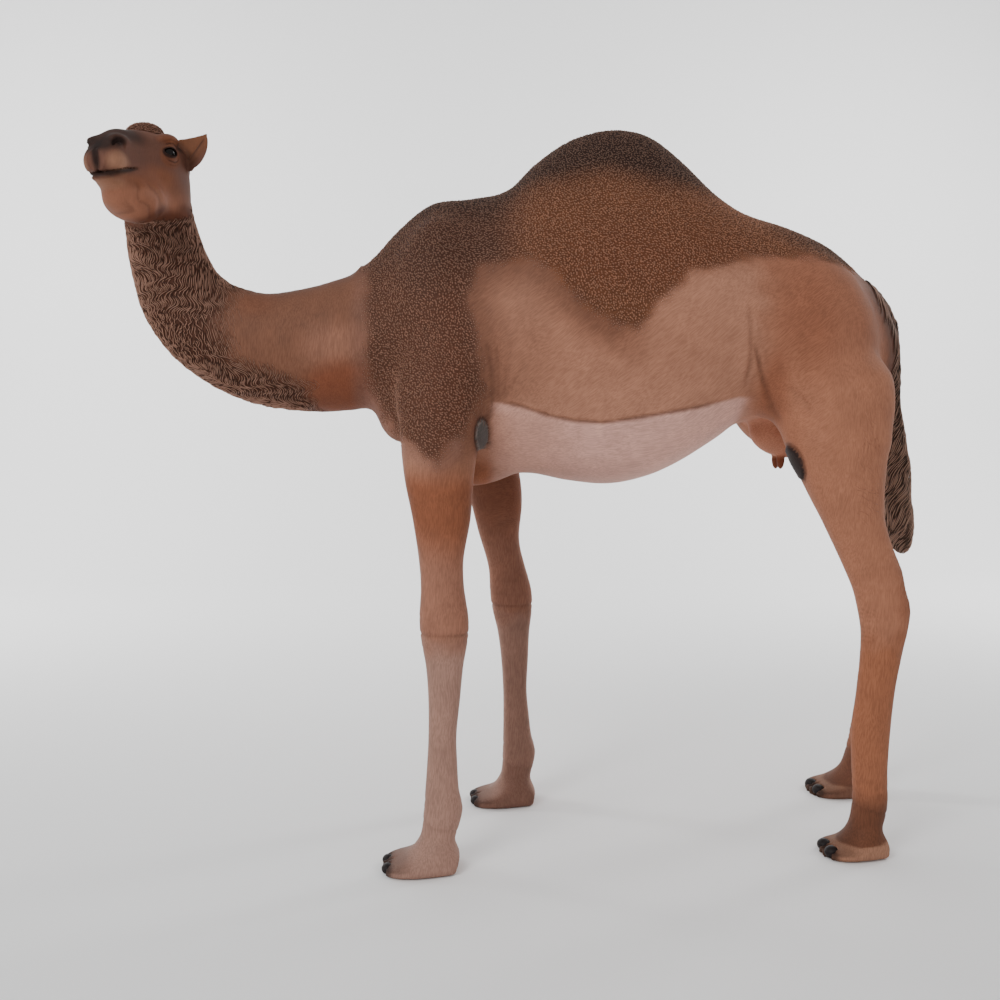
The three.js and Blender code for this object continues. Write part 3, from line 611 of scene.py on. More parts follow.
# %% Where the mesh is finer
BLOCK = 12.8  # cell on the plain body, mm; fine cells are a half or a quarter of it
BELLY_CREASE = [(-23, 1265), (37, 1253), (104, 1230), (179, 1214), (258, 1209), (355, 1223),
                (523, 1252), (640, 1283)]
CREASES = [
    # points (x, z) on the side view, width, depth, how much painted shade its groove gets
    (BELLY_CREASE, 5, 4.5, 0.6),
    ([(655, 1540), (660, 1440), (662, 1380), (652, 1300)], 7, 3.5, 0.25),
    ([(663, 1440), (702, 1342), (727, 1294), (781, 1189)], 7, 4.5, 0.38),
    ([(779, 1318), (800, 1290), (819, 1269), (832, 1238)], 6, 2.2, 0.16),
    ([(-56, 1430), (-44, 1370), (-40, 1310), (-38, 1245)], 6, 3.2, 0.3),
    ([(-30, 1420), (-26, 1370), (-24, 1300), (-30, 1262)], 5.5, 2.4, 0.2),
    ([(10, 1440), (4, 1370), (-10, 1300), (-22, 1268)], 5.5, 2.2, 0.16),
    ([(-70, 1420), (-60, 1350), (-58, 1280)], 5.5, 2.4, 0.2),
    ([(50, 1380), (20, 1320), (-16, 1272)], 5.5, 2.2, 0.16),
    ([(-24, 1262), (-40, 1240), (-44, 1215)], 7, 4, 0.4),
    ([(-505, 1560), (-495, 1480), (-500, 1390), (-512, 1330)], 10, 1.1, 0.1),
    ([(-420, 1420), (-392, 1380), (-372, 1330)], 9, 1.1, 0.1),
]
CREASE_REACH = 24  # how far the finer mesh goes to either side of a crease
CREASE_SIDE = 60  # creases are on her sides, this far or more from the middle plane
FAINT = 2  # a crease no deeper than this shows well enough on the plain mesh
FINE = [
    # centre in the body's coordinates, radius
    *[((x, side * 240, z), r) for side, x, z, r in (
        (-1, -172, 655, 78), (1, 50, 655, 80), (-1, -176, 120, 70), (1, 80, 120, 72),
        (-1, -235, 20, 118), (1, 32, 20, 118), (-1, 980, 20, 112), (1, 1160, 20, 112),
        (-1, 1060, 660, 98), (1, 1285, 660, 100), (-1, 1022, 110, 70), (1, 1225, 110, 70))],
    ((-66, -232, 1180), 62),
    ((-66, 205, 1178), 72),
    ((812, -226, 1105), 62),
    ((850, 0, 1110), 70),
    (tuple(from_head((40, 0, -40))), 250),
]
FINEST = [
    (tuple(from_head((4, 70, -14))), 46),
    (tuple(from_head((4, -70, -14))), 46),
    (tuple(from_head((208, 0, -55))), 62),
    (tuple(from_head((170, 0, -60))), 62),
    (tuple(from_head((-98, 98, 16))), 72),
    (tuple(from_head((-98, -98, 16))), 72),
]


def fineness(places):
    """0, 1 or 2: how many times the block at each place is halved."""
    level = np.zeros(len(places), int)
    for value, zones in ((1, FINE), (2, FINEST)):
        for centre, radius in zones:
            near = ((places - np.array(centre)) ** 2).sum(1) < radius ** 2
            level[near] = np.maximum(level[near], value)
    x, y, z = places.T
    for points, _, depth, _ in CREASES:
        if depth > FAINT:
            away, _ = line_distance(x, z, points)
            near = (away < CREASE_REACH) & (np.abs(y) > CREASE_SIDE)
            level[near] = np.maximum(level[near], 1)
    return level


# %% Blocks and lattice
STEPS = 4  # lattice steps along a block; a cell is 4, 2 or 1 of them long
DEPTHS = 4  # a cell's key is this times its place's number, plus its depth, which is 0 to 2
SPAN = 4096  # more lattice steps than the body is long
HALF_DIAGONAL = 0.87  # of a cube with sides of 1


def code(p):
    """One whole number for each lattice place."""
    return (p[..., 0].astype(np.int64) * SPAN + p[..., 1]) * SPAN + p[..., 2]


def decode(c):
    """The lattice places that have these numbers."""
    return np.stack([c // SPAN // SPAN, c // SPAN % SPAN, c % SPAN], -1)


def lattice(*ranges):
    """Every place whose three coordinates are in the ranges."""
    return np.stack(np.meshgrid(*ranges, indexing="ij"), -1).reshape(-1, 3)


def near_blocks(low, high):
    """The blocks that the surface may cross, found in two steps: by groups, then one by one."""
    shape = np.ceil((np.array(high) - low) / BLOCK).astype(int)
    group = 4
    found = lattice(*[np.arange(0, n, group) for n in shape])
    for size, slack in ((group, 1.7), (1, 1.5)):
        middle = low + (found + size / 2) * BLOCK
        found = found[np.abs(body_field(*middle.T)) < slack * HALF_DIAGONAL * size * BLOCK]
        if size == group:
            found = (found[:, None] + lattice(*[np.arange(group)] * 3)).reshape(-1, 3)
    return found


# %% The contour


def crossed_edges(low, blocks, level):
    """Each crossed edge: where it is crossed, the four cells round it, and its direction."""
    order = np.argsort(code(blocks))
    known, known_level = code(blocks)[order], level[order]

    def level_of(cell):
        wanted = code(cell // STEPS)
        i = np.minimum(np.searchsorted(known, wanted), len(known) - 1)
        return np.where(known[i] == wanted, known_level[i], 0)

    groups = []
    for depth in (0, 1, 2):
        size, count = STEPS >> depth, 1 << depth
        base = blocks[level == depth] * STEPS
        for axis in range(3):
            ranges = [np.arange(count + 1)] * 3
            ranges[axis] = np.arange(count)
            starts = (base[:, None] + lattice(*ranges) * size).reshape(-1, 3)
            start = decode(np.unique(code(starts)))
            cells, depths = [], []
            for p, q in ((0, 0), (-1, 0), (-1, -1), (0, -1)):
                cell = start.copy()
                cell[:, (axis + 1) % 3] += p
                cell[:, (axis + 2) % 3] += q
                cells.append(cell)
                depths.append(level_of(cell))
            keep = (np.array(depths) <= depth).all(0)
            along = np.eye(3, dtype=int)[axis] * size
            keys = [code(c // (STEPS >> d)[:, None] * (STEPS >> d)[:, None]) * DEPTHS + d
                    for c, d in zip(cells, depths)]
            groups.append((start[keep], along, np.stack(keys, -1)[keep]))
    ends = [code(start + way) for start, along, _ in groups for way in (0, along)]
    nodes = np.unique(np.concatenate(ends))
    values = body_field(*(low + decode(nodes) * BLOCK / STEPS).T)
    points, rings = [], []
    for start, along, keys in groups:
        a = values[np.searchsorted(nodes, code(start))]
        b = values[np.searchsorted(nodes, code(start + along))]
        hit = (a < 0) != (b < 0)
        share = (a / np.where(a == b, 1, a - b))[hit, None]
        points.append(low + (start[hit] + along * share) * BLOCK / STEPS)
        ring = keys[hit]
        out = a[hit] < 0
        ring[~out] = ring[~out][:, ::-1]
        rings.append(ring)
    return np.concatenate(points), np.concatenate(rings)


def contour(low, high):
    """Vertices, faces and each vertex's cell size."""
    low = np.array(low, float)
    blocks = near_blocks(low, high)
    level = fineness(low + (blocks + 0.5) * BLOCK)
    points, rings = crossed_edges(low, blocks, level)
    keys, faces = np.unique(rings, return_inverse=True)
    faces = faces.reshape(rings.shape)
    count = np.bincount(faces.ravel(), minlength=len(keys))
    vertices = np.stack([np.bincount(faces.ravel(), np.repeat(points[:, n], 4), len(keys)) / count
                         for n in range(3)], -1)
    cell = BLOCK / (1 << (keys % DEPTHS))
    return vertices, faces, cell


# %% Onto the surface
FLATTEST = 0.04  # least square of the slope that a step trusts, where two parts meet


def on_skin(points):
    """Points moved one step onto the field's surface, and the way out of it there."""
    value, slope = downhill(points)
    square = np.maximum((slope ** 2).sum(1), FLATTEST)
    return points - slope * (value / square)[:, None], slope / np.sqrt(square)[:, None]


def settle(points, cell, rounds=3):
    """Pulls points onto the surface, by no more than half a cell along each axis."""
    start = points.copy()
    for _ in range(rounds):
        points, _ = on_skin(points)
        points = np.clip(points, start - 0.5 * cell[:, None], start + 0.5 * cell[:, None])
    return points


# %% The skin's mesh
SKIN_ROOM = ((-1180, -430, -40), (1490, 430, 2110))  # two corners of a room round the whole skin


def make_mesh(name, points, faces):
    """A mesh object at the origin from points in the body's millimetres. Faces that name a
    vertex twice lose it, and those left with two vertices go."""
    faces = np.asarray(faces)
    same = faces == np.roll(faces, -1, axis=1)
    loops = faces[~same]
    sizes = (~same).sum(1)
    keep = sizes > 2
    loops = loops[np.repeat(keep, sizes)]
    sizes = sizes[keep]
    mesh = bpy.data.meshes.new(name)
    mesh.vertices.add(len(points))
    mesh.vertices.foreach_set("co", to_frame(points).astype(np.float32).ravel())
    mesh.loops.add(len(loops))
    mesh.loops.foreach_set("vertex_index", loops.astype(np.int32))
    mesh.polygons.add(len(sizes))
    starts = np.concatenate([[0], np.cumsum(sizes)[:-1]])
    mesh.polygons.foreach_set("loop_start", starts.astype(np.int32))
    mesh.update(calc_edges=True)
    mesh.shade_smooth()
    piece = bpy.data.objects.new(name, mesh)
    bpy.context.scene.collection.objects.link(piece)
    return piece


skin_points, skin_faces, skin_cell = contour(*SKIN_ROOM)
skin_points = settle(skin_points, skin_cell)
print("skin", len(skin_points), "vertices,", len(skin_faces), "faces")

# %% [markdown]
# ## Where each kind of coat grows
# The statue has four kinds of surface: long wavy locks on the neck, short curls on the shoulder,
# hump and back, a twisted tail, and short flat hair on the rest, which is little more than fine
# strokes. The first two end along clear lines, so each is given an outline, as seen from the
# side. Masks fade from 0 to 1 across the outline. Both the skin and the tufts read them.

# %% Outlines of the coats
CURLS = [(-392, 1950), (-380, 1500), (-372, 1300), (-310, 1190), (-190, 1102), (-126, 1172),
         (-62, 1300), (-86, 1443), (-108, 1560), (-66, 1635), (75, 1655), (153, 1579),
         (244, 1497), (345, 1450), (400, 1535), (518, 1628), (700, 1668), (860, 1676),
         (1010, 1650), (1060, 1720), (1000, 2100), (0, 2100)]
WOOL = [(-748, 1640), (-806, 1480), (-764, 1396), (-690, 1356), (-600, 1332), (-548, 1296),
        (-536, 1180), (-640, 1120), (-1250, 1120), (-1250, 1740), (-1040, 1790), (-960, 1812),
        (-905, 1816), (-880, 1850), (-820, 1900), (-780, 1800)]
THROAT = [(-160, -40), (-150, 60), (0, 90), (250, 60), (260, -130), (196, -176), (112, -202),
          (40, -198), (-70, -172)]  # the lower edge of the head, in the head's side view

# %% Masks


def ramp(low, high, t):
    """0 below low, 1 above high, and smooth between; low may be the larger."""
    u = np.clip((t - low) / (high - low), 0, 1)
    return u * u * (3 - 2 * u)


def inside(x, z, outline):
    """Distance inside an outline in the side view, negative outside it."""
    best, _ = line_distance(x, z, [*outline, outline[0]])
    odd = np.zeros(len(x), bool)
    for (x0, z0), (x1, z1) in zip(outline, [*outline[1:], outline[0]]):
        if z0 != z1:
            crosses = (z0 > z) != (z1 > z)
            odd ^= crosses & (x < x0 + (z - z0) * (x1 - x0) / (z1 - z0))
    return np.where(odd, best, -best)


def ripple(p, size, seed, waves=7):
    """A smooth random field, about -1 to 1, with bumps of about the given size."""
    random = np.random.default_rng(seed)
    total = np.zeros(len(p))
    for _ in range(waves):
        way = unit(random.normal(size=3)) * 2 * np.pi / (size * random.uniform(1.4, 3.2))
        total += np.sin(p @ way + random.uniform(0, 2 * np.pi))
    return total / math.sqrt(waves / 2) * 0.6


def head_nearness(p):
    """1 on the head, 0 on the neck below the jaw."""
    hx, _, hz = to_head(*p.T)
    edge = inside(hx, hz, THROAT) + 6 * ripple(p, 22, 9) * ramp(96, 50, hx)
    return ramp(-14, 8, edge) * (p[:, 0] < -780) * (p[:, 2] > 1650)


def masks(p):
    """What grows at each place, 0 to 1: short curls, wavy wool, the head's fine hair, and the
    tail's strands."""
    x, z = p[:, 0], p[:, 2]
    ragged = 10 * ripple(p, 30, 3)
    curl = ramp(-12, 20, inside(x, z, CURLS) + ragged)
    head = head_nearness(p)
    wool = ramp(-34, 34, inside(x, z, WOOL) + ragged) * (1 - head) * (x < -440)
    tail = ramp(-12, 0, -tail_field(*p.T)) * (x > 1000) * (z > 800)
    return {"curl": curl * (1 - tail), "wool": wool, "head": head, "tail": tail}


skin_masks = masks(skin_points)
print({name: int((mask > 0.5).sum()) for name, mask in skin_masks.items()})

# %% [markdown]
# ## Folds and pads
# Creases are drawn as lines on the side view and pressed into the mesh: the long crease above
# the belly, the flank fold, and the fans at elbow and stifle. Rings go round the knees and
# fetlocks, and faint lines cross the front of the hocks. A crease has a narrow groove, darkened
# with painted shade, and a slightly raised lip. Where a leg bears on the ground when the animal
# lies down, the hide is a bare oval pad with a ringed edge.

# %% Sizes of the folds and pads
RINGS = [
    # kind of leg, height, tilt, width, depth, from x, to x of the left leg
    ("fore", 642, 0.0, 4, 2.6, -400, -60),
    ("fore", 716, 0.08, 4, 1.0, -400, -60),
    ("fore", 690, -0.12, 4, 0.8, -400, -150),
    ("fore", 604, 0.15, 4, 0.8, -400, -60),
    ("fore", 158, 0.1, 4, 0.8, -400, -60),
    ("fore", 128, -0.3, 5, 1.2, -400, -60),
    ("hind", 206, 0.1, 4, 1.3, 900, 1062),
    ("hind", 188, 0.1, 4, 1.6, 900, 1070),
    ("hind", 168, 0.14, 4, 1.6, 900, 1080),
    ("hind", 120, -0.25, 5, 1.6, 900, 1200),
    ("fore", 178, 0.1, 4, 1.2, -400, -190),
]
ELBOW_PAD = {"at": (-66, 1176), "size": (19, 44)}
STIFLE_PAD = {"at": (810, -208, 1100), "size": (34, 48, 64)}
MOAT = 1.06  # where the ring round a pad runs, as a share of the pad's size
HOCK_LINES = {"at": (1006, 650), "size": (19, 30)}

# %% Pads


def on_left_leg(p, kind):
    """X of each place as it would be on the left leg of that kind."""
    return p[:, 0] - np.where(p[:, 1] > 0, set_back[kind](p[:, 2])[0], 0)


def pad_rings(reach):
    """Height of a pad, where reach is 0 at its middle and 1 at its edge."""
    dome = 3.2 * ramp(1.02, 0.86, reach)
    moat = -3.0 * np.exp(-((reach - MOAT) / 0.07) ** 2)
    lines = 0.6 * np.cos(reach * 30) * ramp(1.7, 1.1, reach) * ramp(0.5, 0.8, reach)
    return dome + moat + lines


def reaches(p):
    """How far each place is from the elbow and stifle pads, as a share of their size."""
    x, y, z = p.T
    elbow = np.hypot((x - ELBOW_PAD["at"][0]) / ELBOW_PAD["size"][0],
                     (z - ELBOW_PAD["at"][1]) / ELBOW_PAD["size"][1])
    elbow = np.where(np.abs(y) > 150, elbow, 9)
    (ax, ay, az), (rx, ry, rz) = STIFLE_PAD["at"], STIFLE_PAD["size"]
    hind_x = on_left_leg(p, "hind")
    stifle = np.sqrt(((hind_x - ax) / rx) ** 2 + ((np.abs(y) + ay) / ry) ** 2 + ((z - az) / rz) ** 2)
    return elbow, np.where(z < 1200, stifle, 9)


# %% Folds of the body


def folds(p):
    """Height of the folds and pads over the plain skin, and how much painted shade their
    grooves get.
    """
    x, y, z = p.T
    height, groove = np.zeros(len(p)), np.zeros(len(p))

    def press(away, width, depth, dark, fade):
        """Presses a groove in, with a raised lip beyond it, and paints shade in the groove."""
        nonlocal height, groove
        dip = np.exp(-(away / width) ** 2) * fade
        lips = np.exp(-((away - 2.1 * width) / width) ** 2) * fade
        height = height - depth * dip + 0.3 * depth * lips
        groove = np.maximum(groove, dip * dark)

    for points, width, depth, dark in CREASES:
        away, along = line_distance(x, z, points)
        fade = ramp(0, 0.12, along) * ramp(1, 0.85, along) * (np.abs(y) > CREASE_SIDE)
        press(away + 1.2 * ripple(p, 12, 5), width, depth, dark, fade)
    for kind, level, tilt, width, depth, first, last in RINGS:
        lx = on_left_leg(p, kind)
        away = z - level - tilt * (lx - (first + last) / 2) + 2.5 * ripple(p, 26, 6)
        on_leg = ramp(first - 20, first + 20, lx) * ramp(last + 12, last - 12, lx)
        press(away, width, depth, depth / 8, on_leg * (np.abs(y) > 120))
    elbow, stifle = reaches(p)
    height += pad_rings(elbow) + pad_rings(stifle)
    (hock_x, hock_z), (wide, tall) = HOCK_LINES["at"], HOCK_LINES["size"]
    hock = np.hypot((on_left_leg(p, "hind") - hock_x) / wide, (z - hock_z) / tall)
    hock_line = ramp(0.2, 0.8, np.cos(hock * 16)) * ramp(1.9, 1.4, hock) * (x > 850)
    height -= 0.2 * hock_line
    groove = np.maximum(groove, 0.22 * hock_line)
    for reach, dark in ((elbow, 1.0), (stifle, 0.7)):
        groove = np.maximum(groove, dark * np.exp(-((reach - MOAT) / 0.09) ** 2))
    return height, groove


# %% Folds of the face


def face_folds(p):
    """Fine folds of the face: bags below the eye, furrows above it, and creases on the jowl. Gives
    their height, and the painted shade in their grooves.
    """
    hx, hy, hz = to_head(*p.T)
    px, pz = hx - EYE["at"][0], hz - EYE["at"][2]
    reach = np.hypot(px / 17, pz / 13)
    lines = np.cos((reach - 1.5) * 9.5)
    below = ramp(-2, -12, pz) * ramp(34, 12, np.abs(px + 4))
    above = ramp(14, 22, pz) * ramp(40, 14, np.abs(px))
    near = ramp(1.3, 1.5, reach) * ramp(2.75, 2.2, reach) * (np.abs(hy) > 35)
    height = 1.1 * lines * near * (below + 0.8 * above)
    wave = np.sin((hx * 0.75 - hz * 0.65) / 6.5 + 1.6 * ripple(p, 34, 8))
    on_jowl = ramp(-92, -116, hz) * ramp(30, 66, hx) * ramp(190, 150, hx)
    height += 1.5 * wave * on_jowl
    groove = np.clip(-lines, 0, 1) * near * (below + above)
    return height, np.maximum(groove, 0.3 * ramp(-0.5, -1, wave) * on_jowl)


# %% Press in the folds and raise the pads
FLAT_HAIR = 1.2  # depth of the flat hair's paint and strokes
MORE_COAT = {"wool": 4.3, "curl": 2.2, "head": -0.6}  # what each kind of coat adds to it


def coat_depth(p, mask):
    """How far the skin lies inside the solids, which reach to the tips of the coat."""
    depth = np.full(len(p), FLAT_HAIR)
    for kind, more in MORE_COAT.items():
        depth += more * mask[kind]
    return depth * ramp(-2, 30, p[:, 2])


fold_height, fold_shade = folds(skin_points)
face_height, face_shade = face_folds(skin_points)
fold_height += face_height * skin_masks["head"]
fold_shade = np.maximum(fold_shade, face_shade * skin_masks["head"])
_, skin_slope = downhill(skin_points)
skin_normals = unit_rows(skin_slope)
skin_rest = skin_points.copy()
skin_points = skin_points + skin_normals * (fold_height - coat_depth(skin_points, skin_masks))[:, None]
skin_points[:, 2] = np.maximum(skin_points[:, 2], GROUND)
print("deepest fold", round(float(fold_height.min()), 1), "mm")

# %% [markdown]
# ## Paint
# The painter laid a brown ground, darkened the back to near black, warmed the cheeks and thighs
# with red, and let the belly and the lower legs go pale. The same brushwork is done here with
# soft masks worked out from place, one colour over another, and some strokes are painted shade
# and painted highlight. It is kept on each vertex, and the tufts take the colour of the place
# where they grow.

# %% Colours


def srgb(red, green, blue):
    """A screen colour as the linear one that a shader takes."""
    v = np.array((red, green, blue)) / 255
    return np.where(v <= 0.04045, v / 12.92, ((v + 0.055) / 1.055) ** 2.4)


COAT = {
    "flank": srgb(162, 114, 92),
    "flank_top": srgb(106, 70, 54),
    "back": srgb(120, 76, 52),
    "topline": srgb(40, 26, 22),
    "belly": srgb(202, 156, 142),
    "shoulder": srgb(104, 68, 52),
    "shoulder_edge": srgb(118, 84, 72),
    "neck_base": srgb(111, 74, 57),
    # pink: below the crease behind the elbow, and as a painted highlight on the neck's base
    "blush_and_highlight": srgb(150, 104, 84),
    "rust": srgb(114, 63, 42),
    "wool": srgb(96, 60, 45),
    "haunch": srgb(144, 94, 72),
    "thigh": srgb(155, 103, 79),
    # painted shade under the belly, on the back of the rump, on the legs' inner sides and round the elbow
    # pads; it also darkens the neck's top and the band beside the tail
    "shade": srgb(92, 60, 48),
    "fore_leg": srgb(128, 77, 54),
    "knee": srgb(146, 100, 81),
    "shank": srgb(151, 116, 102),
    "hind_shank": srgb(146, 92, 66),
    "hind_foot": srgb(84, 52, 38),
    "sole": srgb(150, 108, 86),
    "udder": srgb(168, 112, 88),
    "teat": srgb(108, 58, 38),
    "face": srgb(97, 64, 52),
    "jaw": srgb(78, 40, 26),
    "cheek": srgb(128, 80, 58),
    "jowl": srgb(146, 96, 74),
    "muzzle": srgb(34, 23, 20),
    "lip": srgb(148, 107, 84),
    "dark": srgb(28, 18, 16),
    "brow": srgb(120, 68, 42),
    "ear": srgb(108, 67, 45),
    "pad": srgb(82, 76, 73),
    "pad_rim": srgb(128, 112, 104),
    "stifle_pad": srgb(44, 33, 31),
    "tail": srgb(50, 36, 30),
    "tail_end": srgb(114, 90, 77),
}


# %% The painter's strokes


class Painting:
    """Paint built up on a set of places, one soft stroke over another."""

    def __init__(self, ground, x, y, z, wobble=0.0):
        self.x, self.side, self.z, self.wobble = x, np.abs(y), z, wobble
        self.colour = np.tile(COAT[ground], (len(x), 1))

    def brush(self, name, mask, amount=1.0):
        """Lays a colour on where mask, 0 to 1, says; amount is how well it covers."""
        share = np.clip(mask * amount, 0, 1)[:, None]
        self.colour = self.colour * (1 - share) + COAT[name] * share

    def spot(self, at, size, soft):
        """A soft round mask about a place, the same on both sides."""
        reach = np.sqrt(((self.x - at[0]) / size[0]) ** 2 + ((self.side - at[1]) / size[1]) ** 2
                        + ((self.z - at[2]) / size[2]) ** 2)
        return ramp(1 + soft * 0.5, 1 - soft * 0.5, reach + self.wobble)


# %% [markdown]
# Each part of the body has its own strokes, in the order in which they cover each other. Their
# numbers are places and sizes in millimetres: most masks are a ramp along the body, up it, or
# in from an outline, so that an edge is soft and lies where the form turns.

# %% Paint of the trunk and neck


def paint_flank(paint, curl_edge, fine, uneven):
    """The side from the shoulder to the haunch: dark near the curls, pale under the crease, with
    painted shade under the belly and on the back of the rump.
    """
    x, z = paint.x, paint.z
    paint.brush("flank_top", ramp(-120, -10, curl_edge) * ramp(420, 260, x) * ramp(-260, -120, x), 0.9)
    paint.brush("flank_top", ramp(-50, -5, curl_edge) * ramp(360, 560, x), 0.3)
    paint.brush("flank_top", ramp(190, 40, x) * ramp(-140, -90, x) * ramp(1210, 1300, z), 0.35)
    paint.brush("rust", paint.spot((300, 280, 1420), (320, 200, 120), 1.4), 0.15)
    above_crease = z - np.interp(x, *np.transpose(BELLY_CREASE))
    paint.brush("belly", ramp(4, -8, above_crease) * ramp(-50, -20, x) * ramp(740, 640, x))
    paint.brush("flank", ramp(4, -8, above_crease) * ramp(-50, -20, x) * ramp(260, 60, x), 0.4)
    paint.brush("blush_and_highlight", ramp(-8, -40, above_crease) * ramp(60, -40, x) * ramp(-60, -30, x), 0.5)
    # Painted shade on the underside of the belly.
    paint.brush("shade", ramp(1130, 1060, z) * ramp(-100, -20, x) * ramp(560, 100, x), 0.35)
    paint.brush("haunch", ramp(640, 760, x + 10 * fine))
    paint.brush("thigh", ramp(640, 760, x + 10 * fine) * ramp(1480, 1300, uneven))
    paint.brush("rust", paint.spot((830, 230, 1480), (70, 120, 150), 1.5), 0.3)
    paint.brush("rust", paint.spot((740, 230, 1290), (36, 120, 100), 1.2), 0.5)
    # Painted shade on the back of the rump.
    paint.brush("shade", ramp(1010, 1150, x + 0.25 * (z - 1500)) * ramp(1440, 1560, z), 0.75)


def paint_neck(paint, uneven):
    """The smooth base of the neck: dark above, red below, paler between, where a pale pink patch is
    painted highlight.
    """
    x = paint.x
    on_neck = ramp(-300, -400, x)
    paint.brush("neck_base", on_neck)
    paint.brush("shade", ramp(1530, 1590, uneven - 0.25 * np.abs(x + 600)) * on_neck, 0.55)
    # Painted highlight: a pale pink patch on the side of the neck's base.
    paint.brush("blush_and_highlight", paint.spot((-470, 130, 1420), (80, 120, 60), 1.3) * ramp(-300, -380, x), 0.6)
    paint.brush("rust", ramp(1376, 1320, uneven) * on_neck * ramp(-600, -500, x), 0.8)
    paint.brush("rust", paint.spot((-690, 110, 1560), (50, 90, 50), 1.2), 0.2)


def paint_back(paint, curl, curl_edge, uneven):
    """The ground under the curls: brown shoulder and hump, and a near black topline."""
    x, z = paint.x, paint.z
    paint.brush("shoulder_edge", ramp(-340, -385, x) * ramp(-440, -400, x), 0.4)
    beside_elbow = ramp(-60, -10, curl_edge) * ramp(-100, -140, x) * ramp(1360, 1260, z)
    paint.brush("shoulder_edge", beside_elbow, 0.6)
    paint.brush("shoulder", curl)
    paint.brush("back", curl * ramp(1380, 1500, uneven) * ramp(-60, 120, x))
    paint.brush("topline", curl * ramp(1520, 1680, uneven) * ramp(60, -60, x), 0.42)
    on_shoulder = paint.spot((-150, 260, 1330), (90, 120, 260), 1.2)
    paint.brush("rust", curl * ramp(-60, -130, x) * on_shoulder, 0.2)
    paint.brush("rust", curl * paint.spot((420, 230, 1640), (330, 200, 120), 1.4), 0.3)
    crest = np.where(x < 700, 1895 - 0.00035 * (x - 330) ** 2, 1840 - 0.62 * (x - 700))
    paint.brush("topline", curl * ramp(-75, 60, uneven - crest), 0.92)


# %% Paint of the legs


def paint_leg(paint, kind, p, inward, upward, curl, fine, uneven):
    """Both legs of a kind, down to the dark toes, with painted shade on their inner sides. inward
    and upward are how far the surface faces those ways."""
    z = paint.z
    lx = on_left_leg(p, kind)
    fore = kind == "fore"
    on_leg = ramp(-8, -50, lx) * (z < 1300) if fore else ramp(740, 790, lx)
    paint.brush("fore_leg" if fore else "thigh", on_leg * ramp(1150, 1040, uneven) * (1 - curl))
    if fore:
        paint.brush("knee", on_leg * ramp(960, 800, uneven))
    paint.brush("shank" if fore else "hind_shank", on_leg * ramp(650, 560, z + 16 * fine))
    if not fore:
        paint.brush("hind_foot", on_leg * ramp(200, 120, z), 0.8)
        behind_hock = ramp(1070, 1120, lx) * ramp(560, 700, z) * ramp(900, 760, z)
        paint.brush("rust", on_leg * behind_hock, 0.4)
    at, *scales = FOOT_AT[kind]
    toe = at + FOOT[0][0] * np.where(p[:, 1] > 0, scales[1], scales[0])
    sole = ramp(46, 41, z - GROUND + 0.07 * (at - lx) + fine)
    paint.brush("shank" if fore else "sole", on_leg * sole)
    # Painted shade on the sides of the legs that face the other legs, and more of it at the feet.
    inner_shade = on_leg * (z < 1240) * ramp(0.1, 0.8, inward)
    paint.brush("shade", inner_shade, 0.55)
    paint.brush("shade", inner_shade * ramp(170, 90, z), 0.4)
    on_top = ramp(-0.1, 0.5, upward)
    paint.brush("dark", on_leg * (z < 100) * ramp(toe + 110, toe + 25, lx) * on_top, 0.5)
    paint.brush("dark", on_leg * (z < 60) * ramp(toe + 34, toe + 14, lx), 0.8)


# %% Paint of the bare parts, the wool and the tail


def paint_bare_parts(paint, p):
    """The udder, the teats, and the pads on the elbows and stifles."""
    x, side, z = paint.x, paint.side, paint.z
    paint.brush("udder", ramp(1290, 1220, z) * ramp(640, 720, x) * ramp(960, 900, x) * (side < 125))
    teats = [paint.spot((teat_x, TEATS["y"], TEATS["z"] - 8), (19, 17, 24), 0.5) for teat_x in TEATS["x"]]
    paint.brush("teat", np.max(teats, axis=0))
    elbow, stifle = reaches(p)
    # Painted shade round the elbow pads.
    paint.brush("shade", ramp(1.9, 1.1, elbow), 0.6)
    paint.brush("pad", ramp(1.04, 0.96, elbow))
    paint.brush("pad_rim", ramp(0.12, 0, np.abs(elbow - 0.9)), 0.6)
    paint.brush("stifle_pad", ramp(1.05, 0.95, stifle))


def paint_wool_and_tail(paint, p, uneven):
    """The ground under the wool and the tail's strands, and the dark cleft beside the tail."""
    x, side, z = paint.x, paint.side, paint.z
    here = masks(p)
    paint.brush("wool", here["wool"])
    paint.brush("shade", ramp(1040, 1100, x) * ramp(135, 90, side) * (z > 900), 0.95)
    paint.brush("tail", ramp(1060, 1120, x) * ramp(74, 44, side) * (z > 900), 0.6)
    paint.brush("tail", here["tail"])
    paint.brush("tail_end", here["tail"] * ramp(1420, 1180, uneven))


def paint_coat(p, normals):
    """The paint at each place, in the body's coordinates."""
    paint = Painting("flank", *p.T)
    fine = ripple(p, 34, 12)
    uneven = p[:, 2] + 26 * ripple(p, 120, 11)  # height, wandering as a hand-laid edge does
    curl_edge = inside(p[:, 0], p[:, 2], CURLS)
    curl = ramp(-14, 22, curl_edge + 8 * fine)
    paint_flank(paint, curl_edge, fine, uneven)
    paint_neck(paint, uneven)
    paint_back(paint, curl, curl_edge, uneven)
    inward, upward = normals[:, 1] * -np.sign(p[:, 1]), normals[:, 2]
    for kind in LEGS:
        paint_leg(paint, kind, p, inward, upward, curl, fine, uneven)
    paint_bare_parts(paint, p)
    paint_wool_and_tail(paint, p, uneven)
    return paint_head(p, paint.colour)


# %% Paint of the head


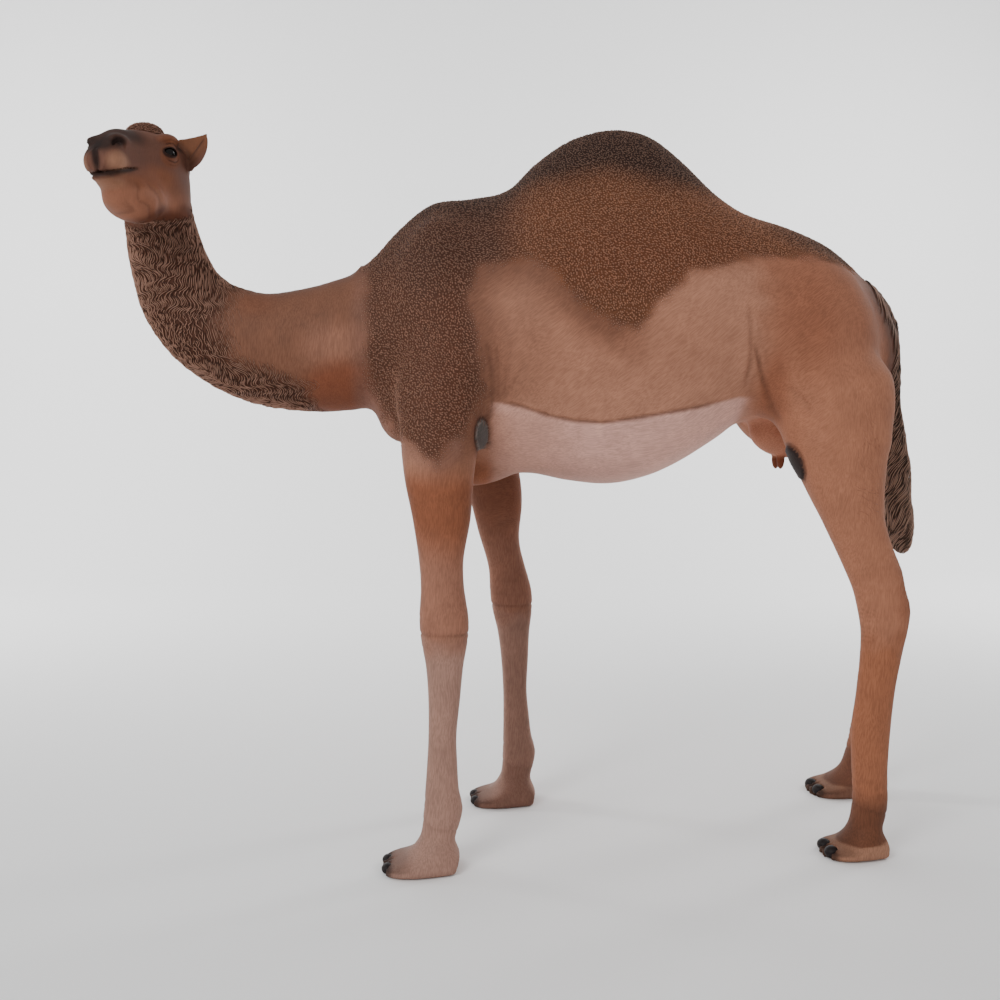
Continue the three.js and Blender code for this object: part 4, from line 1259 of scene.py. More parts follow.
def paint_lips(paint):
    """The dark muzzle, the pale upper lip with its split, the nostrils, and the mouth's line."""
    hx, hz = paint.x, paint.z
    paint.brush("muzzle", ramp(-20, 14, hz) * ramp(40, 110, hx), 0.75)
    paint.brush("muzzle", paint.spot((200, 16, -18), (46, 28, 26), 1.0), 0.9)
    paint.brush("lip", paint.spot((200, 42, -64), (33, 24, 22), 1.2))
    paint.brush("lip", paint.spot((206, 20, -112), (34, 40, 14), 1.0), 0.5)
    paint.brush("dark", paint.spot((222, 0, -44), (70, 12, 46), 1.0), 0.9)
    paint.brush("dark", paint.spot((196, 46, -12), (26, 16, 11), 1.0), 0.85)
    front, corner = MOUTH["front"][0], MOUTH["corner"][0]
    under = hz - mouth_height(hx)
    lip_edge = ramp(5, -1, under) * ramp(-16 * ramp(corner - 20, front, hx) - 6, -4, under)
    paint.brush("muzzle", lip_edge * ramp(corner - 26, corner + 26, hx), 0.9)


def paint_eyes(paint):
    """The red brows, the brown hollow round each eye, and its dark rim."""
    hx, side = paint.x, paint.side
    paint.brush("brow", paint.spot((-2, 70, 18), (36, 24, 14), 1.0), 0.9)
    turn = math.radians(LIDS["forward"])
    px = (hx - EYE["at"][0]) * math.cos(turn) - (side - EYE["at"][1]) * math.sin(turn)
    pz = paint.z - EYE["at"][2]
    hollow = ramp(2.0, 1.4, np.hypot((px + 2) / 21, (pz + 10) / 17))
    paint.brush("brow", hollow * (side > 45), 0.5)
    rim = np.hypot((px - 1) / LIDS["half"], pz / LIDS["above"])
    paint.brush("dark", ramp(1.45, 1.1, rim) * (side > 45) * (hx < 60), 0.9)


def paint_ears(paint, ear, along, across):
    """The ears, with a dark line down the fold and a dark root."""
    paint.brush("ear", ear)
    fold = np.exp(-((across + 12 - 0.07 * along) / 4) ** 2) * ramp(8, 24, along) * ramp(84, 60, along)
    paint.brush("dark", ear * fold, 0.7)
    paint.brush("dark", ear * ramp(30, 6, along), 0.6)
    paint.brush("dark", paint.spot((-42, 66, 8), (34, 18, 11), 1.2), 0.75)


def paint_head(p, colour):
    """The head's colours over the coat's."""
    near = (p[:, 0] < -760) & (p[:, 2] > 1640)
    hx, hy, hz = to_head(*p[near].T)
    fine = ripple(p[near], 22, 13)
    paint = Painting("face", hx, hy, hz, 0.08 * fine)
    paint.brush("jowl", ramp(-76, -130, hz) * ramp(-110, 0, hx), 0.9)
    paint.brush("cheek", paint.spot((52, 58, -92), (78, 50, 34), 1.2), 0.9)
    paint.brush("cheek", paint.spot((120, 30, -104), (60, 40, 18), 1.0), 0.8)
    paint.brush("rust", paint.spot((92, 52, -86), (46, 40, 26), 1.4), 0.3)
    paint.brush("face", paint.spot((-40, 60, -90), (40, 50, 46), 1.4), 0.6)
    paint.brush("jaw", ramp(-138, -176, hz + 7 * fine + 0.1 * hx) * ramp(140, 70, hx), 0.9)
    paint.brush("wool", ramp(-172, -196, hz + 5 * fine) * ramp(150, 90, hx), 0.8)
    paint_lips(paint)
    paint_eyes(paint)
    ear = ramp(10, -2, ear_field(hx, hy, hz)) * ramp(-72, -92, hx)
    along, across, _ = on_ear(hx, hy, hz)
    paint_ears(paint, ear, along, across)
    crown = ramp(8, -6, lump(hx, hy, hz, CROWN["at"], CROWN["size"]))
    paint.brush("wool", crown * ramp(8, 20, hz), 0.9)
    share = np.maximum(head_nearness(p)[near], ear)[:, None]
    colour[near] = colour[near] * (1 - share) + paint.colour * share
    return colour


# %% Where the short hair points


def lie_of(p):
    """How the short hair lies: the share that lies straight down, and the share along the belly."""
    x, z = p[:, 0], p[:, 2]
    down = np.maximum(ramp(1180, 1020, z), ramp(-330, -420, x))
    down = np.maximum(down, ramp(820, 960, x) * ramp(1560, 1400, z))
    belly = ramp(1235, 1195, z) * ramp(-60, 20, x) * ramp(720, 640, x) * (z > 900)
    return down * (1 - belly), belly


skin_paint = paint_coat(skin_rest, skin_normals)
skin_down, skin_belly = lie_of(skin_rest)
print("paint from", skin_paint.min(0).round(3), "to", skin_paint.max(0).round(3))

# %% The skin piece


def keep_value(piece, name, values):
    """Keeps a number on each vertex, for the materials to read."""
    attribute = piece.data.attributes.new(name, "FLOAT", "POINT")
    attribute.data.foreach_set("value", np.asarray(values, np.float32))


def keep_colour(piece, name, colours):
    """Keeps a colour on each vertex, for the materials to read."""
    attribute = piece.data.attributes.new(name, "FLOAT_COLOR", "POINT")
    rgba = np.ones((len(colours), 4), np.float32)
    rgba[:, :3] = colours
    attribute.data.foreach_set("color", rgba.ravel())


skin = make_mesh("skin", skin_points, skin_faces)
keep_colour(skin, "paint", skin_paint)
# the painted shade of the grooves
keep_value(skin, "groove", fold_shade)
keep_value(skin, "down", skin_down)
keep_value(skin, "belly", skin_belly)
for mask_name, mask_values in skin_masks.items():
    keep_value(skin, mask_name, mask_values)
print("skin triangles", sum(len(face.vertices) - 2 for face in skin.data.polygons))

# %% [markdown]
# ## Materials
# The whole statue is one cast, painted with satin paints, so its materials differ little: the
# paint's colour comes from the vertices, its brushwork and the fine strokes modelled in the
# surface come from procedural textures. What several materials share is a node group.

# %% Node helpers


def new_group(name, inputs, outputs):
    """An empty node group with named sockets. Inputs are (name, kind, value)."""
    group = bpy.data.node_groups.new(name, "ShaderNodeTree")
    for socket, kind, value in inputs:
        made = group.interface.new_socket(socket, in_out="INPUT", socket_type="NodeSocket" + kind)
        made.default_value = value
    for socket, kind in outputs:
        group.interface.new_socket(socket, in_out="OUTPUT", socket_type="NodeSocket" + kind)
    return group, group.nodes.new("NodeGroupInput"), group.nodes.new("NodeGroupOutput")


class Wiring:
    """Short ways to add nodes to a tree."""

    def __init__(self, tree):
        self.tree = tree

    def add(self, kind, inputs=(), **settings):
        node = self.tree.nodes.new(kind)
        for key, value in settings.items():
            setattr(node, key, value)
        for socket, value in dict(inputs).items():
            self.put(value, node.inputs[socket])
        return node

    def put(self, value, socket):
        if isinstance(value, bpy.types.NodeSocket):
            self.tree.links.new(value, socket)
        else:
            socket.default_value = value

    def math(self, operation, a, b=0.0, clamp=False):
        node = self.add("ShaderNodeMath", {0: a, 1: b}, operation=operation, use_clamp=clamp)
        return node.outputs[0]

    def scale(self, colour, factor):
        node = self.add("ShaderNodeVectorMath", {0: colour}, operation="SCALE")
        self.put(factor, node.inputs["Scale"])
        return node.outputs[0]

    def mix(self, share, a, b):
        node = self.add("ShaderNodeMix", data_type="RGBA")
        for i, value in ((0, share), (6, a), (7, b)):
            self.put(value, node.inputs[i])
        return node.outputs[2]

    def attribute(self, name, output="Fac"):
        return self.add("ShaderNodeAttribute", attribute_name=name).outputs[output]

    def span(self, value, low, high, out_low=0.0, out_high=1.0):
        node = self.add("ShaderNodeMapRange", {0: value, 1: low, 2: high, 3: out_low, 4: out_high})
        return node.outputs[0]

    def use(self, group, **inputs):
        return self.add("ShaderNodeGroup", inputs, node_tree=group).outputs[0]


def make_material(name, plain):
    """A material whose shader's own sockets take the plain values. Gives the wiring and the
    shader too, for what changes over the surface."""
    material = bpy.data.materials.new(name)
    material.use_nodes = True
    material.node_tree.nodes.clear()
    wiring = Wiring(material.node_tree)
    output = wiring.add("ShaderNodeOutputMaterial")
    shader = wiring.add("ShaderNodeBsdfPrincipled", plain)
    wiring.put(shader.outputs[0], output.inputs[0])
    return material, wiring, shader


# %% The dry brush, with painted light
# A loaded brush drawn over relief leaves light paint on the crests only, over
# the dark ground of the grooves. The same lightening of crests is also painted highlight, and
# the darkening of grooves painted shade.
brushed, given, result = new_group(
    "dry_brush_with_painted_light",
    [("Paint", "Color", (0.3, 0.2, 0.1, 1)), ("Ridge", "Float", 0.5), ("Light", "Float", 2.0),
     ("Dark", "Float", 0.4), ("Low", "Float", 0.2), ("High", "Float", 1.0),
     ("Dust", "Color", (0.3, 0.18, 0.12, 1)), ("Dustiness", "Float", 0.0)],
    [("Color", "Color")])
wiring = Wiring(brushed)
ridge = wiring.add("ShaderNodeMapRange", {0: given.outputs["Ridge"], 1: given.outputs["Low"],
                                          2: given.outputs["High"]}, interpolation_type="SMOOTHSTEP")
gain = wiring.math("ADD", wiring.math("MULTIPLY", ridge.outputs[0], wiring.math(
    "SUBTRACT", given.outputs["Light"], given.outputs["Dark"])), given.outputs["Dark"])
tinted = wiring.scale(given.outputs["Paint"], gain)
crest_lit = wiring.mix(wiring.math("MULTIPLY", ridge.outputs[0], given.outputs["Dustiness"]),
                   tinted, given.outputs["Dust"])
wiring.put(crest_lit, result.inputs["Color"])

# %% Fine strokes
# The short flat hair is modelled as shallow scratches, long one way and thin across it. Noise
# stretched along the lie gives them. Turn is the slant in the side view.
strokes, given, result = new_group(
    "hair_strokes",
    [("Turn", "Vector", (0, 0, 0)), ("Fineness", "Float", 1.0)],
    [("Height", "Float")])
wiring = Wiring(strokes)
place = wiring.add("ShaderNodeTexCoord").outputs["Object"]
turned = wiring.add("ShaderNodeVectorRotate", {"Vector": place, "Rotation": given.outputs["Turn"]},
                    rotation_type="EULER_XYZ")
stretched = wiring.add("ShaderNodeVectorMath", {0: turned.outputs[0], 1: (420.0, 250.0, 34.0)},
                       operation="MULTIPLY")
wander = wiring.add("ShaderNodeTexNoise", {"Vector": place, "Scale": 9.0, "Detail": 1.0})
bent = wiring.add("ShaderNodeVectorMath", {0: wander.outputs["Color"], 1: (9.0, 9.0, 3.0)},
                  operation="MULTIPLY")
moved = wiring.add("ShaderNodeVectorMath", {0: stretched.outputs[0], 1: bent.outputs[0]}, operation="ADD")
noise = wiring.add("ShaderNodeTexNoise", {"Vector": moved.outputs[0], "Detail": 2.0, "Roughness": 0.6})
wiring.put(given.outputs["Fineness"], noise.inputs["Scale"])
wiring.put(noise.outputs["Fac"], result.inputs["Height"])

# %% Skin material
HOLLOW_SHADE = (*srgb(34, 20, 16), 1)  # painted shade in the folds and on the skin under the locks

skin_material, wiring, shader = make_material("painted_hide", {"Specular IOR Level": 0.13})
down = wiring.attribute("down")
belly = wiring.attribute("belly")
slanted, hanging, level = (wiring.use(strokes, Turn=(0.0, math.radians(slant), 0.0))
                           for slant in (-52, -4, -80))
lie = slanted
for share, other in ((down, hanging), (belly, level)):
    lie = wiring.math("ADD", wiring.math("MULTIPLY", other, share),
                      wiring.math("MULTIPLY", lie, wiring.math("SUBTRACT", 1.0, share)))
head = wiring.attribute("head")
calm = wiring.math("SUBTRACT", 1.0, wiring.math("MULTIPLY", head, 0.75))
relief = wiring.math("ADD", wiring.math("MULTIPLY", wiring.math("SUBTRACT", lie, 0.5), calm), 0.5)
# The strokes' ridges go lighter and their hollows darker: dry brush, and painted light and shade.
streaked = wiring.use(brushed, Paint=wiring.attribute("paint", "Color"), Ridge=relief,
                      Light=1.12, Dark=0.86, Low=0.36, High=0.64)
place = wiring.add("ShaderNodeTexCoord").outputs["Object"]
patches = wiring.add("ShaderNodeTexNoise", {"Vector": place, "Scale": 16.0, "Detail": 4.0, "Roughness": 0.65})
worn = wiring.span(patches.outputs["Fac"], 0.3, 0.7, 0.9, 1.1)
# Painted shade: the grooves of the folds and the skin under the curls, wool and tail go dark.
covered = wiring.math("MAXIMUM", wiring.math("MULTIPLY", wiring.attribute("curl"), 0.85),
                      wiring.math("MAXIMUM", wiring.attribute("wool"), wiring.attribute("tail")))
pressed = wiring.math("MAXIMUM", wiring.math("MULTIPLY", wiring.attribute("groove"), 0.8),
                      wiring.math("MULTIPLY", covered, 0.5), clamp=True)
shaded = wiring.mix(pressed, wiring.scale(streaked, worn), HOLLOW_SHADE)
wiring.put(shaded, shader.inputs["Base Color"])
bump = wiring.add("ShaderNodeBump", {"Strength": 0.5, "Distance": 0.0012, "Height": relief})
wiring.put(bump.outputs[0], shader.inputs["Normal"])
wiring.put(wiring.span(patches.outputs["Fac"], 0.3, 0.7, 0.56, 0.7), shader.inputs["Roughness"])
skin.data.materials.append(skin_material)

# %% Lock materials
CREST_PAINT_AND_HIGHLIGHT = (*srgb(172, 137, 119), 1)  # the light paint that the dry brush leaves on crests, which is also painted highlight


def lock_look(name, light, dark, low, crest_light_share):
    """Dry-brushed locks, whose crests are also lightened as painted highlight and whose grooves
    are darkened as painted shade. light and dark are how much the paint gains on crests and loses
    in grooves, low is where the brush starts to touch, and the last says how thickly the light
    crest paint, which is partly painted highlight, is laid on."""
    material, wiring, shader = make_material(name, {"Roughness": 0.6, "Specular IOR Level": 0.22})
    colour = wiring.use(brushed, Paint=wiring.attribute("paint", "Color"),
                        Ridge=wiring.attribute("ridge"), Light=light, Dark=dark, Low=low, High=1.0,
                        Dust=CREST_PAINT_AND_HIGHLIGHT, Dustiness=crest_light_share)
    wiring.put(colour, shader.inputs["Base Color"])
    return material


wool_material = lock_look("painted_wool", light=2.08, dark=0.46, low=0.26, crest_light_share=0.64)
curl_material = lock_look("painted_curls", light=1.42, dark=0.68, low=0.08, crest_light_share=0.28)
hair_material = lock_look("painted_hair", light=1.05, dark=0.7, low=0.1, crest_light_share=0.0)

# %% [markdown]
# ## Locks and curls
# A sculptor models the coat lock by lock, so each lock here is a closed solid: a low ridge with
# three long sides, that starts in the skin and lies along it. The same maker serves the neck's
# long locks, the curls, the tail and the tufts. A lock's vertices know how near its crest they
# are, which the dry brush needs, and its paint is that of the place where it grows. Particle
# hair would look softer than this cast coat, and can't be exported.

# %% Roots of the locks
CANDIDATES = 9  # places drawn for each square of one spacing, of which the clear ones are kept
CLOSEST = 0.72  # least distance between two roots, as a share of the spacing


def scatter(share, spacing, seed):
    """Places on the skin about one spacing apart, where share (0 to 1) of the skin is set."""
    random = np.random.default_rng(seed)
    corners = skin_points[skin_faces]
    area = np.linalg.norm(np.cross(corners[:, 2] - corners[:, 0], corners[:, 3] - corners[:, 1]), axis=1)
    weight = area * share[skin_faces].mean(1)
    count = int(weight.sum() / spacing ** 2 * CANDIDATES)
    face = random.choice(len(weight), count, p=weight / weight.sum())
    u, v = random.random((2, count, 1))
    quad = corners[face]
    near_edge, far_edge = (quad[:, a] * (1 - u) + quad[:, b] * u for a, b in ((0, 1), (3, 2)))
    places = near_edge * (1 - v) + far_edge * v
    boxes = np.floor(places / spacing + random.random(3)).astype(int)
    _, first = np.unique(boxes, axis=0, return_index=True)
    places = places[np.sort(first)]
    keep, grid = [], {}
    for i in np.argsort(places[:, 0], kind="stable"):
        key = tuple((places[i] // spacing).astype(int))
        near = [j for dx in (-1, 0, 1) for dy in (-1, 0, 1) for dz in (-1, 0, 1)
                for j in grid.get((key[0] + dx, key[1] + dy, key[2] + dz), ())]
        if near and (((places[near] - places[i]) ** 2).sum(1) < (CLOSEST * spacing) ** 2).any():
            continue
        grid.setdefault(key, []).append(i)
        keep.append(i)
    return places[keep]


# %% Paths of the locks
LOCK_RINGS = 11  # sections along a long lock


def flat_to(vectors, normals):
    """The part of each vector that lies along the surface, at unit length."""
    flat = vectors - (vectors * normals).sum(1)[:, None] * normals
    return flat / np.maximum(np.linalg.norm(flat, axis=1), 1e-6)[:, None]


def trace(roots, way, length):
    """Paths over the surface from roots. way(points, normals) gives the direction at places."""
    points, normals = on_skin(roots)
    path, outs = [points], [normals]
    stride = (length / (LOCK_RINGS - 1))[:, None]
    for _ in range(LOCK_RINGS - 1):
        points, normals = on_skin(points + way(points, normals) * stride)
        path.append(points)
        outs.append(normals)
    return np.stack(path, 1), np.stack(outs, 1)


def thin_out(path, gap, box, least):
    """Keeps locks that run clear of those kept before them, by a gap, on a grid of boxes. Gives
    which are kept, and the share of its length that each keeps, which is the least or more."""
    low = path.reshape(-1, 3).min(0) - 4 * gap
    shape = ((path.reshape(-1, 3).max(0) + 4 * gap - low) / box).astype(int) + 1
    taken = np.zeros(shape, bool)
    reach = int(gap / box) + 1
    ball = lattice(*[np.arange(-reach, reach + 1)] * 3)
    ball = ball[(ball ** 2).sum(1) * box ** 2 <= gap ** 2]
    rings = path.shape[1]
    kept, shares = [], []
    for number, points in enumerate(path):
        dense = np.stack([np.interp(np.linspace(0, rings - 1, rings * 3), np.arange(rings), points[:, axis])
                          for axis in range(3)], -1)
        cells = ((dense - low) / box).astype(int)
        hits = np.flatnonzero(taken[tuple(cells.T)])
        share = hits[0] / len(dense) if len(hits) else 1.0
        if share < least:
            continue
        kept.append(number)
        shares.append(share)
        marked = (cells[: int(share * len(dense))][2:-2, None] + ball).reshape(-1, 3)
        taken[tuple(marked.T)] = True
    return np.array(kept), np.array(shares)


def cut_short(path, shares):
    """Each path cut to a share of its length, with as many points as before."""
    rings = path.shape[1]
    spots = shares[:, None] * np.arange(rings)
    i = np.minimum(spots.astype(int), rings - 2)
    u = (spots - i)[..., None]
    rows = np.arange(len(path))[:, None]
    return path[rows, i] * (1 - u) + path[rows, i + 1] * u


def lay_strands(roots, way, length, gap, box, least):
    """Paths of strands from roots, cut short where they would run over one another."""
    path, outs = trace(roots, way, length)
    kept, shares = thin_out(path, gap, box, least)
    return cut_short(path[kept], shares), cut_short(outs[kept], shares)


# %% Map of the locks


def unwrap(p):
    """Each place's spot on an unwrap of the skin's own shape: along it, and round it."""
    x, y, z = p.T
    along_neck = np.clip((x + 1000) / 700, 0, 1) * 0.5 + np.clip((z - 1200) / 800, 0, 1) * 0.5
    on_neck = x < -390
    on_rear = (x > 1050) & (z < 1500)
    middle = np.where(on_neck, -20, 0)
    turn = np.arctan2(y - middle, np.where(on_neck, z - 1480, z - 1440)) / (2 * np.pi) + 0.5
    tail_turn = np.arctan2(y, x - 1205) / (2 * np.pi) + 0.5
    u = np.where(on_neck, 0.02 + 0.3 * along_neck, 0.34 + 0.5 * (x + 390) / 1600)
    v = np.where(on_rear, 0.02 + 0.96 * np.clip((z - 780) / 800, 0, 1), 0.02 + 0.96 * turn)
    return np.stack([np.where(on_rear, 0.88 + 0.1 * tail_turn, u), v], -1)


# %% Faces of the locks
SUNK = 0.12  # share of a lock's height that is below the skin
PATCH = 0.003  # side of a lock's own patch on the map


def lock_faces(rings):
    """The faces of one lock: three sides from ring to ring, and both ends."""
    faces = []
    for ring in range(0, (rings - 1) * 3, 3):
        for corner, beside in ((0, 1), (1, 2), (2, 0)):
            faces.append([ring + corner, ring + beside, ring + 3 + beside, ring + 3 + corner])
    last = (rings - 1) * 3
    return np.array(faces + [[2, 1, 0, 0], [last, last + 1, last + 2, last + 2]])


def keep_map(piece, spots):
    """Lays the piece's map: one spot for each vertex."""
    layer = piece.data.uv_layers.new(name="OFBake")
    vertex = np.empty(len(piece.data.loops), np.int32)
    piece.data.loops.foreach_get("vertex_index", vertex)
    layer.data.foreach_set("uv", spots[vertex].astype(np.float32).ravel())


# %% Maker of locks
LOCK_LIMIT = 190000  # most triangles in one piece


def make_locks(name, path, outs, half_width, height, lift, tone, material, worn=None):
    """Solid locks along paths, in as many pieces as the limit asks. half_width, height and lift
    are sizes in millimetres for each lock and ring, and worn is how much of the light crest paint,
    which is partly painted highlight, each ring's crest takes."""
    count, rings = path.shape[:2]
    side = np.cross(outs, np.gradient(path, axis=1))
    side /= np.maximum(np.linalg.norm(side, axis=2), 1e-6)[..., None]
    side *= half_width[..., None]
    base = path + outs * (lift - SUNK * height)[..., None]
    crest = path + outs * (lift + height)[..., None]
    corners = np.stack([base + side, crest, base - side], 2)
    colours = paint_coat(path[:, 0], outs[:, 0]) * tone[:, None]
    fraction = np.linspace(0, 1, rings)
    light = ramp(-0.1, 0.35, fraction) if worn is None else np.array(worn)
    ridge = np.stack([0 * light, light, 0 * light], -1).ravel()
    patch = np.stack([np.repeat(fraction, 3) - 0.5, np.tile([-0.5, 0, 0.5], rings)], -1) * PATCH
    spots = unwrap(path[:, 0])[:, None] + patch
    faces = lock_faces(rings)
    triangles = (rings - 1) * 6 + 2
    pieces = max(1, math.ceil(count * triangles / LOCK_LIMIT))
    for number, part in enumerate(np.array_split(np.argsort(path[:, 0, 0], kind="stable"), pieces)):
        piece_name = f"{name}_{number + 1}" if pieces > 1 else name
        offsets = (np.arange(len(part)) * rings * 3)[:, None, None]
        piece = make_mesh(piece_name, corners[part].reshape(-1, 3), (faces + offsets).reshape(-1, 4))
        keep_colour(piece, "paint", np.repeat(colours[part], rings * 3, axis=0))
        keep_value(piece, "ridge", np.tile(ridge, len(part)))
        keep_map(piece, spots[part].reshape(-1, 2))
        piece.data.materials.append(material)
        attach(piece, "root")
    print(name, count, "locks,", count * triangles, "triangles in", pieces)


# %% [markdown]
# ## The neck's wool
# The wool hangs from the jaw to the breast in long wavy locks that all bend together, like
# combed wet hair. One smooth swirl of directions over the neck gives that: each lock just
# follows it. The locks run down the throat, lean back along the nape, and get short and thin
# towards the smooth base of the neck.

# %% Wool on the neck
WOOL_LOCKS = {"spacing": 3.9, "thinning": 1.6, "shortest": 55, "longest": 95, "gap": 2.9}
WOOL_WAVE = {"length": 40, "swing": 0.95}
LOCK_SWELL = np.sin(np.pi * np.clip(np.linspace(0, 1, LOCK_RINGS) * 0.84 + 0.12, 0, 1)) ** 0.5


def neck_way(p, normals):
    """The way the wool lies: down, with a lean along the neck, bent in even waves."""
    z = p[:, 2]
    bend = ramp(1520, 1680, z)[:, None]
    axis = unit((0.5, 0, -0.86)) * bend + unit((0.9, 0, -0.43)) * (1 - bend)
    nape = np.clip(normals @ unit((0.8, 0, 0.6)), 0, 1)[:, None]
    down = flat_to(np.array([[0.0, 0.0, -1.0]]) + axis * (0.15 + 1.5 * nape), normals)
    size = WOOL_WAVE["length"] * (1 + 0.6 * ramp(1520, 1380, z))
    wave = np.sin(2 * np.pi * (z + 40 * ripple(p, 120, 21)) / size)
    turn = WOOL_WAVE["swing"] * wave * ramp(-1.3, 0.3, ripple(p, 80, 22)) * (1 - 0.65 * nape[:, 0])
    turn = turn + 0.35 * ripple(p, 130, 23)
    side = np.cross(normals, down)
    return down * np.cos(turn)[:, None] + side * np.sin(turn)[:, None]


def comb_neck():
    """Lays the wool. It gets thin and low at its border, where its mask fades."""
    random = np.random.default_rng(31)
    roots = scatter(skin_masks["wool"] ** WOOL_LOCKS["thinning"], WOOL_LOCKS["spacing"], 31)
    roots = roots[random.permutation(len(roots))]
    strength = masks(roots)["wool"]
    length = random.uniform(WOOL_LOCKS["shortest"], WOOL_LOCKS["longest"], len(roots))
    length *= 0.5 + 0.5 * strength
    path, outs = lay_strands(roots, neck_way, length, WOOL_LOCKS["gap"], box=1.3, least=0.18)
    here = masks(path.reshape(-1, 3))
    strength = here["wool"].reshape(path.shape[:2])
    depth = coat_depth(path.reshape(-1, 3), here).reshape(path.shape[:2])
    fullness = 0.3 + 0.7 * strength
    half_width, height, lift, tone = (random.uniform(low, high, len(path)) for low, high in (
        (2.0, 2.6), (3.2, 4.2), (-0.3, 1.2), (0.86, 1.14)))
    make_locks("neck_wool", path, outs, half_width[:, None] * LOCK_SWELL * fullness,
               height[:, None] * LOCK_SWELL * fullness, lift[:, None] * strength - depth, tone,
               wool_material)


comb_neck()

# %% [markdown]
# ## The curls
# The shoulder, hump and back carry short tight curls, plump grains of hair that are less than a
# centimetre long and lie close together. They lean back and down, and turn a little from place
# to place.

# %% Curls on the shoulder, hump and back
CURL_SPACING = 6.2
CURL_LENGTH = 6.8
CURL_THINNING = 1.3  # more than 1 sets the curls further apart where their mask fades
CURL_STEPS = np.array([-0.5, -0.2, 0.2, 0.5])  # sections of a curl, as shares of its length
CURL_PLUMP = np.array([0.48, 1.0, 0.98, 0.45])  # how full each section is
CURL_CREST_LIGHT = (0.3, 1, 1, 0.3)  # how much of the light crest paint, partly painted highlight, each section takes


def make_curls(name, roots, direction, length, seed, material, spread=0.45, girth=0.46):
    """Small comma-shaped locks lying one way, with some spread. length is in millimetres, and
    girth is the half width as a share of it."""
    random = np.random.default_rng(seed)
    out = unit_rows(downhill(roots)[1])
    lie = flat_to(np.asarray(direction, float) + np.zeros_like(roots), out)
    turn = 0.6 * ripple(roots, 80, seed + 1) + random.normal(0, spread, len(roots))
    lie = lie * np.cos(turn)[:, None] + np.cross(out, lie) * np.sin(turn)[:, None]
    side = np.cross(out, lie)
    size = (length * random.uniform(0.8, 1.2, len(roots)))[:, None]
    bend = (random.choice([-1.0, 1.0], len(roots)) * random.uniform(0.1, 0.45, len(roots)))[:, None]
    path = (roots[:, None] + lie[:, None] * (CURL_STEPS * size)[..., None]
            + side[:, None] * (bend * (CURL_STEPS ** 2 - 0.1) * 1.3 * size)[..., None])
    sections = len(CURL_STEPS)
    half_width = girth * size * CURL_PLUMP
    height = 0.9 * girth * size * CURL_PLUMP
    lift = np.repeat(-0.03 * size, sections, 1)
    tone = random.uniform(0.8, 1.22, len(roots))
    make_locks(name, path, np.repeat(out[:, None], sections, 1), half_width, height, lift, tone,
               material, CURL_CREST_LIGHT)


curl_roots = scatter(skin_masks["curl"] ** CURL_THINNING, CURL_SPACING, 41)
curl_length = CURL_LENGTH * (0.5 + 0.5 * masks(curl_roots)["curl"])
make_curls("curls", curl_roots, (0.7, 0, -0.75), curl_length, 41, curl_material)

# %% [markdown]
# ## The tail
# The tail hangs like a rope of strands. They are laid over it with a slow twist, gather in
# bundles that bulge, and end bluntly.

# %% Tail locks
STRANDS = {"spacing": 4.6, "shortest": 70, "longest": 120, "gap": 2.4, "top": 1640, "tip": 830}
TAIL_TWIST = 0.5  # how far the strands turn sideways as they run down
TAIL_BUNDLES = 4


def tail_way(p, normals):
    """The way the strands lie: down and round the tail, a little unevenly."""
    down = flat_to(np.array([[0.0, 0.0, -1.0]]) + np.zeros_like(p), normals)
    around = np.cross(down, normals)
    turn = TAIL_TWIST + 0.22 * np.sin(p[:, 2] / 17 + 2 * ripple(p, 90, 51))
    return down * np.cos(turn)[:, None] + around * np.sin(turn)[:, None]


def comb_tail():
    """Lays the strands, raised in bundles from the tail's core to its full thickness."""
    random = np.random.default_rng(51)
    roots = scatter(skin_masks["tail"] * (skin_points[:, 2] < STRANDS["top"]), STRANDS["spacing"], 51)
    roots = roots[random.permutation(len(roots))]
    length = random.uniform(STRANDS["shortest"], STRANDS["longest"], len(roots))
    length = length * ramp(-60, 60, roots[:, 2] - STRANDS["tip"]) + 12
    path, outs = lay_strands(roots, tail_way, length, STRANDS["gap"], box=1.2, least=0.3)
    x, y, z = (path[..., axis] for axis in range(3))
    heights, middles, radii = np.array(TAIL, float)[::-1, [2, 0, 3]].T
    middle, radius = np.interp(z, heights, middles), np.interp(z, heights, radii)
    angle = np.arctan2(y, x - middle)
    bundle = 0.5 + 0.5 * np.cos(TAIL_BUNDLES * (angle + TAIL_TWIST * z / 46))
    room = (1 - TAIL_CORE) * radius - 3.4
    half_width, height, lift, tone = (random.uniform(low, high, len(path)) for low, high in (
        (1.9, 2.5), (2.4, 3.2), (-0.8, 0.6), (0.8, 1.22)))
    make_locks("tail_locks", path, outs, half_width[:, None] * LOCK_SWELL * (radius / 40) ** 0.5 * 1.25,
               height[:, None] * LOCK_SWELL, room * (0.1 + 0.9 * bundle) + lift[:, None], tone,
               wool_material)


comb_tail()

# %% [markdown]
# ## The crown
# A dome of fine tight curls sits on the crown, between the ears.

# %% Crown curls
CROWN_SPACING = 3.9
CROWN_CURL = 5.0  # length of a curl
CROWN_LAYERS = (0.0, 2.4)  # height of each layer of curls over the skin


